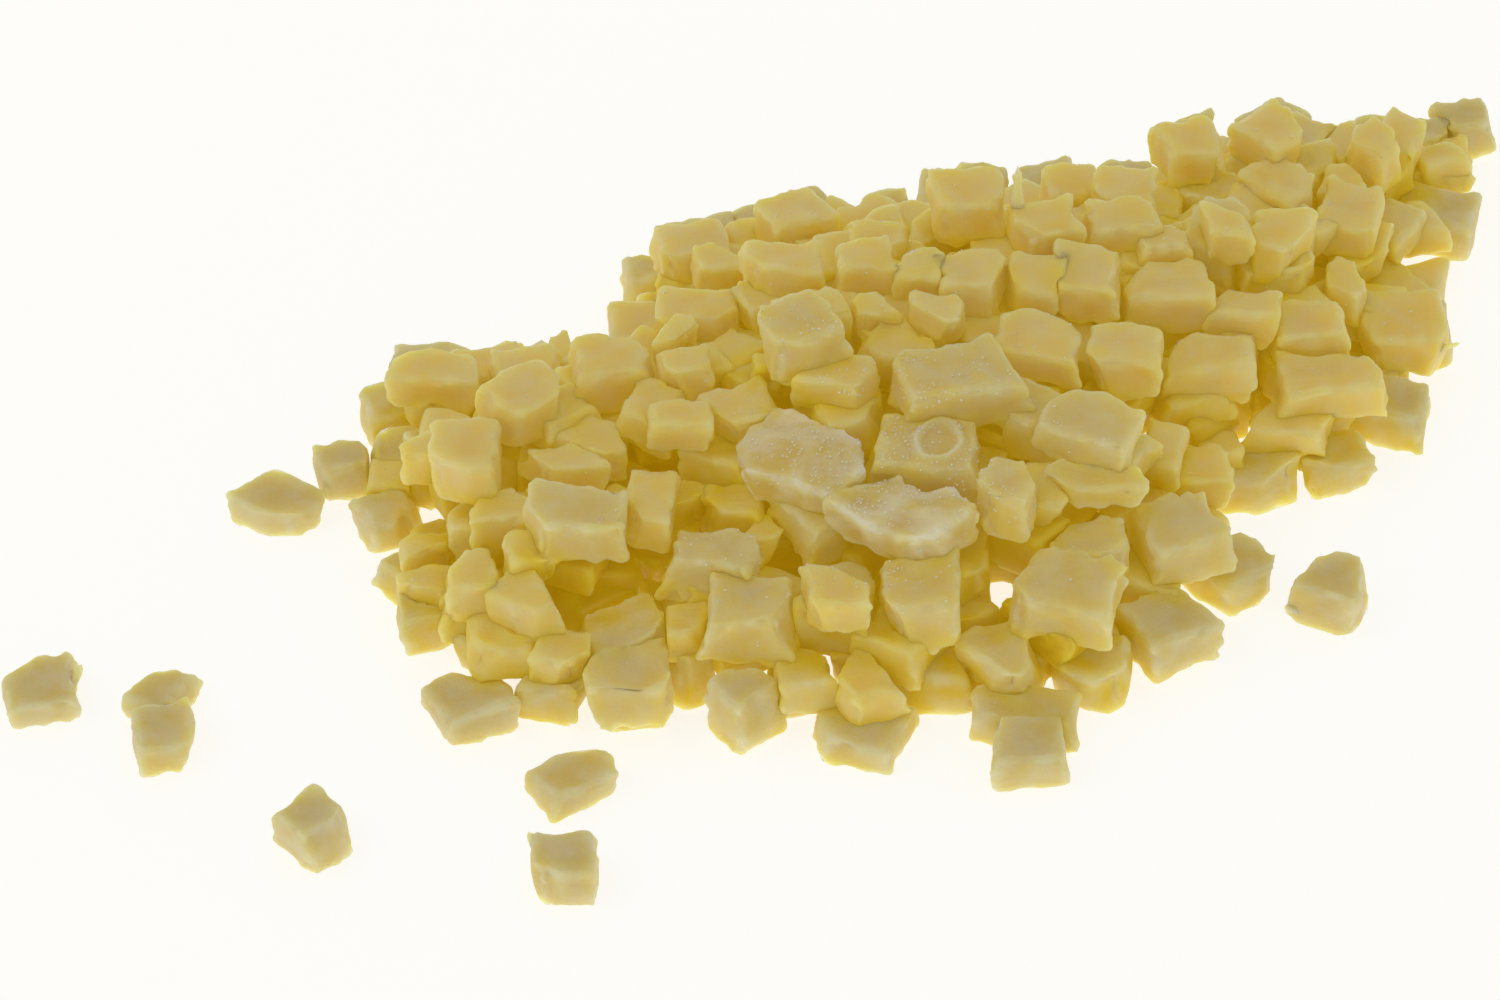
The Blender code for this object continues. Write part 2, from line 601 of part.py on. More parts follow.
def core_squares(ground):
    """Which squares of the core's grid lie well under the dice, with no two that meet only at a corner."""
    covered = (ground.top > 0).astype(float)
    closed = lowest_near(highest_near(covered, CORE_BRIDGE), CORE_BRIDGE + CORE_INSET)
    step = int(CORE_STEP / CELL)
    rows, columns = closed.shape[0] // step, closed.shape[1] // step
    cut = closed[: rows * step, : columns * step].reshape(rows, step, columns, step)
    squares = cut.mean(axis=(1, 3)) > CORE_SHARE
    seen = (ground.sight_from < CORE_PAD)[: rows * step, : columns * step]
    squares &= ~seen.reshape(rows, step, columns, step).any(axis=(1, 3))
    for row in range(rows - 1):
        for column in range(columns - 1):
            four = squares[row : row + 2, column : column + 2]
            if four.sum() == 2 and four[0, 0] == four[1, 1]:
                four[:] = True
    return squares


def core_mesh(ground):
    """The heap's inside: a flat base, upright sides and a top that follows the dice from below."""
    squares = core_squares(ground)
    low = np.minimum(lowest_near(ground.top, CORE_REACH), ground.sight_from) - CORE_COVER
    step = int(CORE_STEP / CELL)
    shape = bmesh.new()
    points = {}

    def point(row, column):
        if (row, column) not in points:
            height = max(CORE_PAD, low[row * step, column * step])
            place = (ground.xs[column * step], ground.ys[row * step], height)
            points[row, column] = shape.verts.new(Vector(place) * MM)
        return points[row, column]

    for row, column in zip(*np.nonzero(squares)):
        ring = ((row, column), (row, column + 1), (row + 1, column + 1), (row + 1, column))
        shape.faces.new([point(*place) for place in ring])
    roof = list(shape.faces)
    lower = bmesh.ops.extrude_face_region(shape, geom=roof)
    for item in lower["geom"]:
        if isinstance(item, bmesh.types.BMVert):
            item.co.z = 0
    bmesh.ops.reverse_faces(shape, faces=roof)
    bmesh.ops.recalc_face_normals(shape, faces=shape.faces)
    mesh = bpy.data.meshes.new("core")
    shape.to_mesh(mesh)
    shape.free()
    return mesh


def islands(shape):
    """The separate closed surfaces of a mesh, as lists of faces."""
    left, found = set(shape.faces), []
    while left:
        first = left.pop()
        island, edge = [first], [first]
        while edge:
            face = edge.pop()
            for side in face.edges:
                for other in side.link_faces:
                    if other in left:
                        left.remove(other)
                        island.append(other)
                        edge.append(other)
        found.append(island)
    return found


def volume_of(faces):
    """The volume that these triangles enclose, below zero round a hollow."""
    total = 0.0
    for face in faces:
        a, b, c = (corner.co for corner in face.verts)
        total += a.dot(b.cross(c)) / 6
    return total


def keep_one_body(mesh):
    """Fills every hollow that the fusing sealed and drops every loose scrap. Returns how many of each."""
    shape = bmesh.new()
    shape.from_mesh(mesh)
    bmesh.ops.dissolve_limit(shape, angle_limit=FLAT, verts=shape.verts, edges=shape.edges)
    bmesh.ops.triangulate(shape, faces=shape.faces)
    sized = sorted(((volume_of(faces), faces) for faces in islands(shape)), key=lambda pair: -pair[0])
    extra = [face for _, faces in sized[1:] for face in faces]
    bmesh.ops.delete(shape, geom=extra, context="FACES")
    shape.to_mesh(mesh)
    shape.free()
    hollows = sum(volume < 0 for volume, _ in sized[1:])
    return hollows, len(sized) - 1 - hollows


def fuse(obj, pieces):
    """Joins meshes to an object's own by one union, and keeps the one body that holds together."""
    pile = bpy.data.collections.new("pieces")
    bpy.context.scene.collection.children.link(pile)
    for mesh in pieces:
        pile.objects.link(bpy.data.objects.new(mesh.name, mesh))
    join = obj.modifiers.new("fuse", "BOOLEAN")
    join.operation = "UNION"
    join.operand_type = "COLLECTION"
    join.solver = "MANIFOLD"
    join.collection = pile
    bpy.context.view_layer.update()
    fused = bpy.data.meshes.new_from_object(obj.evaluated_get(bpy.context.evaluated_depsgraph_get()))
    obj.modifiers.clear()
    obj.data = fused
    for piece in list(pile.objects):
        bpy.data.objects.remove(piece, do_unlink=True)
    bpy.data.collections.remove(pile)

    hollows, scraps = keep_one_body(fused)
    print(f"{obj.name}: {len(pieces)} fused on, {hollows} hollows filled, {scraps} scraps dropped")


def new_object(name, mesh, pieces, material):
    """One object from a mesh and those that are fused to it, moved to where the whole is centred."""
    obj = bpy.data.objects.new(name, mesh)
    bpy.context.scene.collection.objects.link(obj)
    if pieces:
        fuse(obj, pieces)
    obj.data.name = name
    obj.data.materials.clear()
    obj.data.materials.append(material)
    obj.location = (-MIDDLE[0] * MM, -MIDDLE[1] * MM, 0)


def build_heap(material):
    heap = lay_heap()
    pieces = [block_mesh("shown", heap.dice[number]) for number in heap.shown()]
    print(f"heap: {len(heap.dice)} dice laid")
    new_object("heap", core_mesh(heap.ground), pieces, material)


def build_loose(name, rows, material, rng):
    """A die, or the scraps of a flake fused into one, lying flat on the surface."""
    meshes = []
    for x, y, turn, length, width, thickness, skew in rows:
        block = die_corners(rng, length, width, thickness, skew, flat_base=True)
        corners = turned(block, math.radians(turn), 0, 0)
        corners += (x, y, -corners[:, 2].min())
        meshes.append(block_mesh(name, corners))
    new_object(name, meshes[0], meshes[1:], material)


def main():
    start_clean()
    heaped = candied_pineapple("candied_pineapple", (0.60, 0.42, 0.12), 0.45)
    sugared = candied_pineapple("sugared_pineapple", (0.55, 0.47, 0.22), 0.55)
    build_heap(heaped)
    rng = random.Random(LOOSE_SEED)
    for name, *row in LOOSE:
        build_loose(name, [row], sugared, rng)
    build_loose(FLAKE_NAME, FLAKE, sugared, rng)


main()
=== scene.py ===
# %% [markdown]
# # A heap of diced candied pineapple
#
# The real thing starts as slices of fresh pineapple. They are cut into dice, soaked in hot syrup until
# sugar has taken the place of most of their water, and dried. What is left is waxy flesh, clear yellow
# inside, with a pale film of dried sugar along its edges. Poured out on a flat surface, the sticky dice
# lie as a low ridge, and a few roll clear.
#
# A rigid body simulation could lay them, but it would leave the outline of the heap to chance. Here each
# die is laid by a rule: it drops where the heap is still lowest, and rocks until it lies as low as it
# can. The part's solids were laid by the same rule from the same seed, so both heaps agree die for die.

import itertools
import math
import random

import bpy
import numpy as np
from mathutils import Matrix, Vector


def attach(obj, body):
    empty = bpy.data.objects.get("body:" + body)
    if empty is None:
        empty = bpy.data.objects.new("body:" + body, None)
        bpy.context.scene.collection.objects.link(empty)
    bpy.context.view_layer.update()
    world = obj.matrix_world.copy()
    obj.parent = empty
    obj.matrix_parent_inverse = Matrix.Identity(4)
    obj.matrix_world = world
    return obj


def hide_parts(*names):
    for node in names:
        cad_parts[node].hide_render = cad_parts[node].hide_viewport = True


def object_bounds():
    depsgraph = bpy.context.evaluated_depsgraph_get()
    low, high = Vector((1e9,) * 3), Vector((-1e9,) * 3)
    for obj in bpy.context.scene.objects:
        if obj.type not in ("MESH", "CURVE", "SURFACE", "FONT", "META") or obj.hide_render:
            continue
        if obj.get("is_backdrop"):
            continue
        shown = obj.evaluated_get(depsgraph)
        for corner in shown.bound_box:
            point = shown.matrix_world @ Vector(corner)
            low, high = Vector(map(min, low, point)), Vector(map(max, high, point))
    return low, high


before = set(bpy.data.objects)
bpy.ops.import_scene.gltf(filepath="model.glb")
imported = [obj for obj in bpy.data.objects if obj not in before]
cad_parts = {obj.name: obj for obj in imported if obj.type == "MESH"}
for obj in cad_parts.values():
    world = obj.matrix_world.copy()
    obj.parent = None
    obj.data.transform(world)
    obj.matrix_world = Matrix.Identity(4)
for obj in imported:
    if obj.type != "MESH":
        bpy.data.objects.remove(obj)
cad_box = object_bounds()
MM = 0.001
print("solids:", sorted(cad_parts))

# %% [markdown]
# ## The camera, the surface and the light
#
# The heap was seen from the front and well above. Its dice give the scale: the usual one is 7.8 mm wide
# and covers 62 pixels, so a millimetre is 8 pixels of the picture. A fairly long lens keeps the sides of
# the heap from leaning outwards. The light is that of a white tent: it comes from everywhere, a little
# more from the upper left, so that faces turned to the right are a shade darker. The ground is lit from
# below as well, because a plain white sheet would come out grey in the same light.

# %% Camera
PICTURE_WIDTH = 1500  # pixels
PICTURE_HEIGHT = 1000
PIXELS_PER_MM = 8.0
ELEVATION = math.radians(42)
DISTANCE = 650 * MM
LOOK_AT = Vector((-5.7, -2.6, 0)) * MM
SENSOR = 36.0  # mm

camera = bpy.data.objects.new("camera", bpy.data.cameras.new("camera"))
bpy.context.scene.collection.objects.link(camera)
camera.data.sensor_width = SENSOR
camera.data.lens = SENSOR * PIXELS_PER_MM / MM * DISTANCE / PICTURE_WIDTH
camera.location = LOOK_AT + DISTANCE * Vector((0, -math.cos(ELEVATION), math.sin(ELEVATION)))
camera.rotation_euler = (math.pi / 2 - ELEVATION, 0, 0)
bpy.context.scene.camera = camera
bpy.context.scene.view_settings.view_transform = "Standard"
print(f"lens {camera.data.lens:.1f} mm")

# %% Colours are written as they look on a screen, and turned to linear light
def linear(hex_colour):
    """An sRGB hex colour as linear red, green, blue and alpha."""
    parts = [int(hex_colour[i : i + 2], 16) / 255 for i in (1, 3, 5)]
    return [p / 12.92 if p <= 0.04045 else ((p + 0.055) / 1.055) ** 2.4 for p in parts] + [1.0]


# %% One node with its settings and links
def plug(tree, node, inputs):
    """Sets each input of a node to a number or a colour, or links it to the output of another node."""
    for name, value in inputs.items():
        if isinstance(value, bpy.types.NodeSocket):
            tree.links.new(value, node.inputs[name])
        else:
            node.inputs[name].default_value = value


def add(tree, kind, inputs, **settings):
    """Adds a shader node of a kind, with its settings and its inputs."""
    node = tree.nodes.new("ShaderNode" + kind)
    for name, value in settings.items():
        setattr(node, name, value)
    plug(tree, node, inputs)
    return node


def new_material(name):
    """A material with its Principled shader. Returns the material, its tree and the shader."""
    material = bpy.data.materials.new(name)
    material.use_nodes = True
    return material, material.node_tree, material.node_tree.nodes["Principled BSDF"]


# %% The surface is a light table: a sheet of opal acrylic, lit a little from below
TABLE_GLOW = 0.77
TABLE_SIZE = 6.0  # metres, so that its edges stay out of sight
SATIN_GRAIN = 6.667 * MM  # far coarser than the real grain, which wouldn't show


def opal_acrylic():
    """Cast acrylic with a satin face: white, matt, and brighter than the room's light alone makes it."""
    material, tree, shader = new_material("opal_acrylic")
    satin = add(tree, "TexNoise", {"Scale": TABLE_SIZE / SATIN_GRAIN, "Detail": 2})
    bump = add(tree, "Bump", {"Strength": 0.03, "Distance": 0.1 * MM, "Height": satin.outputs["Fac"]})
    face = {
        "Base Color": linear("#a0a09e"),
        "Roughness": 0.85,
        "Emission Color": linear("#fffefa"),
        "Emission Strength": TABLE_GLOW,
        "Normal": bump.outputs["Normal"],
    }
    plug(tree, shader, face)
    return material


bpy.ops.mesh.primitive_plane_add(size=TABLE_SIZE)
surface = bpy.context.object
surface.name = "surface"
surface.data.materials.append(opal_acrylic())
surface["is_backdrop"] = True

# %% Light
SKY = 0.56  # strength of the white tent all round
KEY_WATTS = 1.0
KEY_SIZE = 0.7  # metres on a side
KEY_FROM = Vector((-0.8, -0.3, 0.9))  # metres, to the left, in front and above

world = bpy.data.worlds.new("tent")
world.use_nodes = True
world.node_tree.nodes["Background"].inputs["Color"].default_value = linear("#fbfcff")
world.node_tree.nodes["Background"].inputs["Strength"].default_value = SKY
bpy.context.scene.world = world
key = bpy.data.objects.new("key", bpy.data.lights.new("key", "AREA"))
bpy.context.scene.collection.objects.link(key)
key.data.energy = KEY_WATTS
key.data.size = KEY_SIZE
key.data.color = linear("#fff8ee")[:3]
key.location = KEY_FROM
key.rotation_euler = (-KEY_FROM).to_track_quat("-Z", "Y").to_euler()

# %% [markdown]
# ## Laying the dice
#
# These sizes, places and rules are those of the part's solids. The edge of the heap is laid as listed,
# die by die, because it gives the heap its outline. So are the large dice on top, which can be told
# apart. The rest fill the space between by a rule, and a seed makes their chance draws repeat.

# %% Sizes of the dice, in mm
SIDE = 7.8  # usual length and width of a die
SIDE_SPREAD = 1.0
THICKNESS = 5.6  # usual thickness, that of the slice it was cut from
THICKNESS_PLAY = 0.8  # how much the thickness of a die strays, as a share of what its sides do
LEAST_SIDE = 4.4
GREATEST_SIDE = 10.4
CORNER_PLAY = 0.08  # how far a corner strays, as a share of the side
SKEW = 0.18  # how far a die leans out of square

# %% Sizes of the heap, in mm
RIM_HEIGHT = 6.0
RIM_WIDTH = 5.0  # the edge is one die wide and one high
CREST_HEIGHT = 21.0
CREST_REACH = 44.0  # distance in from the edge at which the heap is at its full height
UNDER_SEEN = 7.0  # how much lower the heap is left where a die that can be told apart will lie
POCKET_DEPTH = 8.0  # how much lower it is left in the hollows between them
OVERFILL = 2.2  # a die may stand this much above the heap's intended height
FULL = 2.0  # a place less than this too low takes no more dice
BED = 1.1  # how deep a sticky face beds into what it touches
FLOOR_GAP = 0.2

# %% The smallest cuts and broken dice, which trickle into the hollows, in mm
SMALL_SIDE = 6.2
SMALL_THICKNESS = 4.8
SMALL_SPREAD = 0.6
SMALL_BED = 2.0  # the others squeeze them
SMALL_FULL = 2.6

# %% How a die comes to rest
ROCKS = 28  # places and leans that a falling die tries
DRIFT = 2.5  # mm that it rolls at each of the first ones
SEEN_DRIFT = 0.8  # the same, for a die that can be told apart
TWIST = 0.3  # radians that it turns at each of the first ones
STEEPEST = 26.0  # degrees that a die may lean
SEEN_STEEPEST = 20.0  # degrees that a die that can be told apart may lean
LEVEL_PULL = 5.0  # mm of height that a die gives up rather than stand on its edge
JITTER = 0.1  # mm further off that it tries each time while its place is blocked
TRIES = 3  # dice that may fail to fit a place before it is left as it is
LOOK_STEP = 0.25  # mm of height between the places along a line of sight that are tried
LOOKS = 4  # times that the wanted height along a line of sight is looked up
SEEN_BARE = 0.3  # the share of a square that such a die may hide before nothing is dropped there
SHOWS = 0.2  # a die of the inner heap shows when this share of it lies on top

# %% The height map that the dice are dropped on, in mm
CELL = 0.5
HALF_LENGTH = 105.0
HALF_WIDTH = 85.0
BLOCK = 8  # cells on a side of the squares in which the heap's height is compared
MIDDLE = (0.2, 1.1)  # the middle of the whole, in the tables' x and y

# %% The edge of the heap on the surface, anticlockwise from its left end, in mm
OUTLINE = [
    (-59, 3), (-53, -10), (-49, -27), (-42, -45), (-32, -43), (-14, -38), (0, -46), (8, -50),
    (20, -42), (32, -48), (44, -36), (56, -22), (60, -5), (74, 2), (82, 18), (88, 40),
    (94, 64), (82, 70), (62, 69), (44, 57), (22, 55), (2, 52), (-18, 42), (-24, 28),
    (-34, 22), (-50, 22),
]

# %% Places where the surface shows between the dice: x, y, half the width, in mm
SIGHT = 42.0  # degrees above the surface, as the camera
GAPS = [
    (-45.2, -1.9, 0.9), (-43.6, -3.5, 1.0), (-42.0, -5.6, 0.9), (-40.3, 17.2, 0.7),
    (-32.6, -32.4, 0.6), (-33.2, -34.6, 0.6), (-33.8, -37.0, 0.6), (4.3, -36.5, 0.6),
    (24.0, -15.8, 1.3), (25.4, -18.0, 1.5), (30.4, -33.8, 0.9), (39.5, -20.7, 0.7),
    (64.7, 37.5, 0.7), (65.4, 35.3, 0.7), (77.6, 43.7, 1.1), (79.7, 41.2, 1.2),
    (83.8, 42.1, 1.0), (88.5, 43.3, 1.0),
]

# %% Dice of the edge: x, y, turn in degrees, length, width, thickness
RIM = [
    (-56.0, 1.0, 15, 6.2, 6.2, 5.0),
    (-49.2, 3.0, 0, 7.4, 6.4, 5.0),
    (-50.0, -8.5, 20, 6.6, 6.6, 4.8),
    (-43.0, -13.8, 35, 6.8, 6.4, 4.8),
    (-46.5, -18.5, 40, 6.4, 6.2, 5.0),
    (-45.0, -26.5, 18, 6.3, 6.0, 5.4),
    (-37.2, -31.6, 30, 7.0, 7.2, 5.0),
    (-38.6, -41.0, 30, 8.6, 7.8, 4.4),
    (-28.8, -38.0, -8, 7.4, 7.2, 5.4),
    (-19.8, -39.9, 10, 6.4, 6.6, 4.4),
    (-21.0, -32.4, 10, 7.8, 7.6, 5.6),
    (-6.0, -43.0, 43, 6.6, 6.4, 7.4),
    (0.0, -38.0, 15, 6.4, 6.0, 4.4),
    (7.5, -45.5, -14, 9.6, 9.0, 3.8),
    (16.0, -36.5, -4, 9.4, 7.0, 5.2),
    (7.5, -34.0, 4, 6.6, 6.4, 6.2),
    (27.0, -42.8, -6, 12.0, 6.4, 4.0),
    (27.5, -49.0, 6, 7.4, 7.0, 4.8),
    (35.5, -36.5, -3, 7.8, 7.2, 5.6),
    (25.0, -34.6, -32, 8.6, 7.8, 5.2),
    (35.4, -28.6, 4, 6.6, 7.2, 5.2),
    (31.0, -25.6, 8, 7.4, 6.4, 5.0),
    (20.8, -28.0, -10, 6.4, 6.2, 4.8),
    (-13.5, -35.5, 25, 6.4, 6.0, 5.4),
    (45.0, -30.0, 28, 8.6, 8.2, 6.6),
    (53.0, -18.5, 36, 8.8, 8.2, 4.8),
    (58.0, -0.5, 2, 10.0, 6.8, 5.2),
    (67.5, 2.5, 8, 8.2, 7.6, 4.8),
    (75.0, 12.0, -16, 10.0, 6.6, 4.8),
    (78.0, 26.5, 5, 11.0, 9.0, 5.6),
    (85.0, 50.0, -10, 11.4, 8.4, 5.6),
    (91.2, 70.0, 20, 6.8, 6.4, 5.2),
    (86.0, 67.3, 10, 5.8, 6.0, 4.6),
    (78.5, 66.0, 44, 7.6, 7.4, 5.2),
    (65.0, 67.0, 42, 8.8, 8.6, 6.4),
    (54.0, 64.0, 12, 7.2, 7.4, 6.2),
    (44.0, 56.0, -2, 8.4, 6.4, 5.6),
    (34.0, 56.0, 16, 7.4, 6.4, 5.8),
    (24.0, 54.0, -5, 8.4, 6.6, 6.2),
    (12.0, 50.5, 6, 7.0, 5.8, 5.4),
    (1.5, 49.0, 34, 7.0, 6.8, 6.2),
    (-6.0, 48.0, 12, 5.4, 5.6, 5.0),
    (-12.5, 44.0, 16, 8.8, 6.6, 4.8),
    (-17.8, 37.2, 2, 7.6, 6.4, 5.0),
    (-22.0, 19.5, 8, 9.8, 8.0, 5.4),
    (-33.0, 17.5, 36, 8.8, 7.6, 4.8),
    (-41.5, 13.3, 8, 9.0, 6.8, 5.0),
    (-45.5, 19.0, -8, 11.2, 6.6, 4.4),
    (-50.5, 11.5, 22, 7.2, 7.0, 5.2),
]

# %% Dice that can be told apart: pixels across and down the picture, turn, length, width, thickness
SEEN = [
    (1400, 335, 5, 10.6, 8.6, 5.6),
    (1376, 154, 44, 7.6, 7.4, 5.2),
    (1274, 143, 42, 8.8, 8.6, 6.4),
    (1190, 158, 12, 7.6, 7.2, 6.0),
    (1122, 203, -2, 8.4, 6.6, 5.6),
    (1072, 197, 10, 7.2, 5.8, 5.0),
    (968, 210, 0, 8.4, 7.8, 6.4),
    (878, 228, 0, 7.2, 6.6, 5.8),
    (797, 230, 34, 8.0, 6.8, 6.2),
    (742, 240, 12, 5.8, 6.2, 5.0),
    (692, 257, 16, 8.8, 6.6, 4.8),
    (613, 374, 8, 9.2, 7.2, 5.2),
    (530, 402, 36, 8.8, 8.0, 5.4),
    (434, 380, -8, 11.2, 5.4, 4.2),
    (432, 460, 5, 6.2, 6.0, 4.6),
    (466, 462, 0, 7.6, 9.0, 6.0),
    (600, 428, -5, 10.0, 5.6, 4.4),
    (566, 470, 3, 9.2, 4.6, 4.0),
    (505, 503, 8, 7.4, 5.4, 4.6),
    (430, 535, 10, 6.6, 5.0, 4.4),
    (430, 572, -5, 6.2, 4.4, 3.6),
    (471, 585, 0, 5.8, 6.2, 5.0),
    (530, 560, 10, 6.0, 5.0, 4.4),
    (523, 600, 20, 6.0, 7.4, 5.4),
    (560, 652, -25, 6.6, 6.2, 5.0),
    (700, 318, 0, 9.4, 6.0, 5.0),
    (676, 340, 0, 5.6, 5.2, 4.4),
    (722, 272, 15, 6.4, 5.4, 4.8),
    (688, 372, 10, 5.8, 5.4, 4.6),
    (680, 425, -5, 7.2, 5.4, 4.4),
    (777, 368, 0, 5.6, 4.0, 3.4),
    (622, 472, -10, 5.6, 5.4, 4.4),
    (667, 455, 12, 7.8, 5.2, 4.0),
    (728, 488, 0, 6.8, 6.0, 4.6),
    (648, 512, -8, 5.6, 8.4, 5.6),
    (758, 540, 20, 5.6, 4.6, 3.8),
    (682, 590, 20, 5.6, 6.4, 5.0),
    (690, 628, 10, 5.6, 6.0, 5.0),
    (836, 598, 0, 8.0, 6.4, 5.2),
    (1165, 415, -10, 4.8, 7.4, 5.0),
    (1215, 425, 15, 5.0, 4.4, 3.6),
    (1285, 428, -8, 9.4, 5.4, 4.8),
    (1285, 372, 10, 5.6, 7.0, 5.0),
    (1246, 316, -10, 7.4, 5.2, 4.6),
    (1168, 235, 12, 7.0, 5.0, 3.6),
    (1224, 234, 0, 5.8, 5.8, 4.8),
    (1281, 245, -10, 6.4, 7.6, 5.4),
    (1345, 290, -30, 6.8, 5.6, 4.8),
    (1030, 288, -20, 6.8, 6.6, 5.2),
    (920, 278, -12, 5.4, 7.6, 5.2),
    (866, 268, 8, 7.8, 6.6, 5.0),
    (760, 308, 45, 5.6, 5.4, 4.0),
    (872, 318, 30, 4.8, 4.6, 3.6),
    (935, 322, -15, 7.0, 5.0, 4.4),
    (1120, 215, -5, 8.4, 6.4, 5.0),
    (815, 316, 5, 8.6, 4.8, 4.0),
    (785, 272, -6, 9.6, 6.4, 5.2),
    (1346, 224, -20, 7.4, 9.0, 5.8),
    (1043, 232, 15, 8.4, 7.2, 5.6),
    (972, 288, 5, 9.0, 7.6, 5.4),
    (1088, 284, -8, 7.2, 8.0, 6.0),
    (1162, 298, 5, 9.8, 7.4, 5.8),
    (1308, 335, 5, 8.8, 6.8, 5.4),
    (1335, 388, -12, 12.4, 7.4, 5.2),
    (1125, 362, -5, 8.6, 6.6, 5.2),
    (1208, 370, 0, 10.0, 6.8, 5.2),
    (1040, 352, 8, 9.2, 8.8, 5.8),
    (836, 385, -20, 7.8, 6.8, 5.0),
    (742, 415, 5, 8.4, 7.2, 5.4),
    (577, 525, 0, 11.4, 8.0, 5.6),
    (708, 550, -10, 10.2, 6.6, 5.4),
    (800, 360, 35, 8.6, 8.0, 6.0),
    (618, 590, 38, 9.4, 8.0, 4.0),
    (628, 660, 8, 9.8, 8.0, 5.4),
    (752, 604, 25, 10.2, 9.2, 5.8),
    (922, 600, 4, 8.4, 10.2, 6.4),
    (1008, 645, -30, 8.6, 7.8, 5.0),
    (1006, 500, -15, 5.8, 8.0, 5.6),
    (1089, 532, 0, 10.2, 7.4, 5.2),
    (1069, 577, 5, 12.0, 9.0, 5.6),
    (1178, 538, 22, 10.4, 9.6, 6.0),
    (1088, 484, -3, 12.0, 3.6, 2.6),
    (1088, 430, -28, 11.0, 7.4, 4.0),
    (957, 378, 10, 13.0, 9.6, 5.0),
    (805, 465, -28, 15.0, 10.0, 4.6),
    (903, 523, -36, 14.0, 9.6, 4.6),
    (922, 437, -10, 12.6, 8.6, 6.0),
]

# %% Hollows between the dice on top: pixels across and down the picture, length and width in mm
POCKETS = [
    (1005, 440, 6.5, 6.5), (808, 545, 7.0, 7.0), (772, 508, 4.5, 3.5), (880, 605, 2.6, 7.0),
    (1090, 622, 6.0, 4.0), (815, 652, 4.0, 6.0), (560, 605, 4.5, 3.0), (675, 662, 3.6, 6.0),
    (887, 368, 5.0, 7.0), (1230, 275, 7.0, 4.0), (685, 488, 3.0, 3.5), (1150, 455, 5.5, 5.5),
    (1050, 292, 3.0, 4.0), (1108, 318, 3.0, 2.5), (1215, 412, 8.0, 2.0), (955, 500, 4.5, 3.5),
    (694, 290, 4.5, 2.0), (1262, 400, 2.0, 6.0), (975, 545, 3.5, 4.5),
]

# %% Dice that lie clear of the heap, by name: x, y, turn, length, width, thickness, skew
LOOSE = {
    "die_far_left": [(-90.2, -38.1, 14, 8.0, 7.6, 3.8, 0.10)],
    "die_in_front_left": [(-56.2, -62.2, 44, 6.8, 6.8, 6.4, 0.04)],
    "die_in_front_middle": [(-26.4, -52.6, 36, 8.2, 7.0, 3.8, 0.06)],
    "die_nearest": [(-26.9, -68.0, 3, 7.2, 7.6, 5.6, 0.05)],
    "die_beside_left_end": [(-63.9, -5.2, -28, 9.0, 7.4, 3.8, 0.24)],
    "die_right": [(65.6, -22.0, -32, 7.6, 8.2, 6.2, 0.05)],
    "torn_flake": [(-74.6, -46.2, 20, 6.4, 7.6, 4.2, 0.18), (-75.9, -38.8, -20, 4.8, 7.0, 3.4, 0.22)],
}

# %% Seeds of the chance draws: the laying, the loose dice, the wear
HEAP_SEED = 11
LOOSE_SEED = 5
WEAR_SEED = 7

# %% Where a pixel of the picture lies
def place_seen(across, down, height):
    """The place in the tables, in mm, that is seen at these pixels and at this height."""
    focal = PIXELS_PER_MM * DISTANCE / MM
    right, up = (across - PICTURE_WIDTH / 2) / focal, (PICTURE_HEIGHT / 2 - down) / focal
    s, c = math.sin(ELEVATION), math.cos(ELEVATION)
    y = (up * (DISTANCE / MM - height * s) - height * c) / (s - up * c)
    x = right * (DISTANCE / MM + y * c - height * s)
    return x + LOOK_AT.x / MM + MIDDLE[0], y + LOOK_AT.y / MM + MIDDLE[1]


# %% The corners of a die
CORNER_SIGNS = np.array([(x, y, z) for z in (-1, 1) for y in (-1, 1) for x in (-1, 1)], float)
BLOCK_FACES = [
    (0, 2, 3), (0, 3, 1), (4, 5, 7), (4, 7, 6), (0, 1, 5), (0, 5, 4),
    (2, 6, 7), (2, 7, 3), (0, 4, 6), (0, 6, 2), (1, 3, 7), (1, 7, 5),
]


def die_corners(rng, length, width, thickness, skew, flat_base=False):
    """The eight corners of a cut block round its own middle: leaning out of square, each a little off."""
    corners = CORNER_SIGNS * (length / 2, width / 2, thickness / 2)
    corners[:, 0] += skew * corners[:, 1]
    play = np.array([[rng.uniform(-1, 1) for _ in range(3)] for _ in range(8)])
    play *= CORNER_PLAY * np.array((length, width, thickness))
    if flat_base:
        play[:4, 2] = 0
    return corners + play


def random_side(rng, usual, spread):
    """A chance size near the usual one, within the sizes that dice are cut to."""
    return min(GREATEST_SIDE, max(LEAST_SIDE, rng.gauss(usual, spread)))


def turned(corners, turn, lean, towards):
    """The corners turned about Z by turn, then leaned over towards a heading; all angles in radians."""
    spin = Matrix.Rotation(turn, 3, "Z")
    axis = Vector((-math.sin(towards), math.cos(towards), 0))
    return corners @ np.array(Matrix.Rotation(lean, 3, axis) @ spin).T


# %% The ground that the dice make as they are laid
UPRIGHT = 1e-6  # a face whose normal rises less than this stands upright


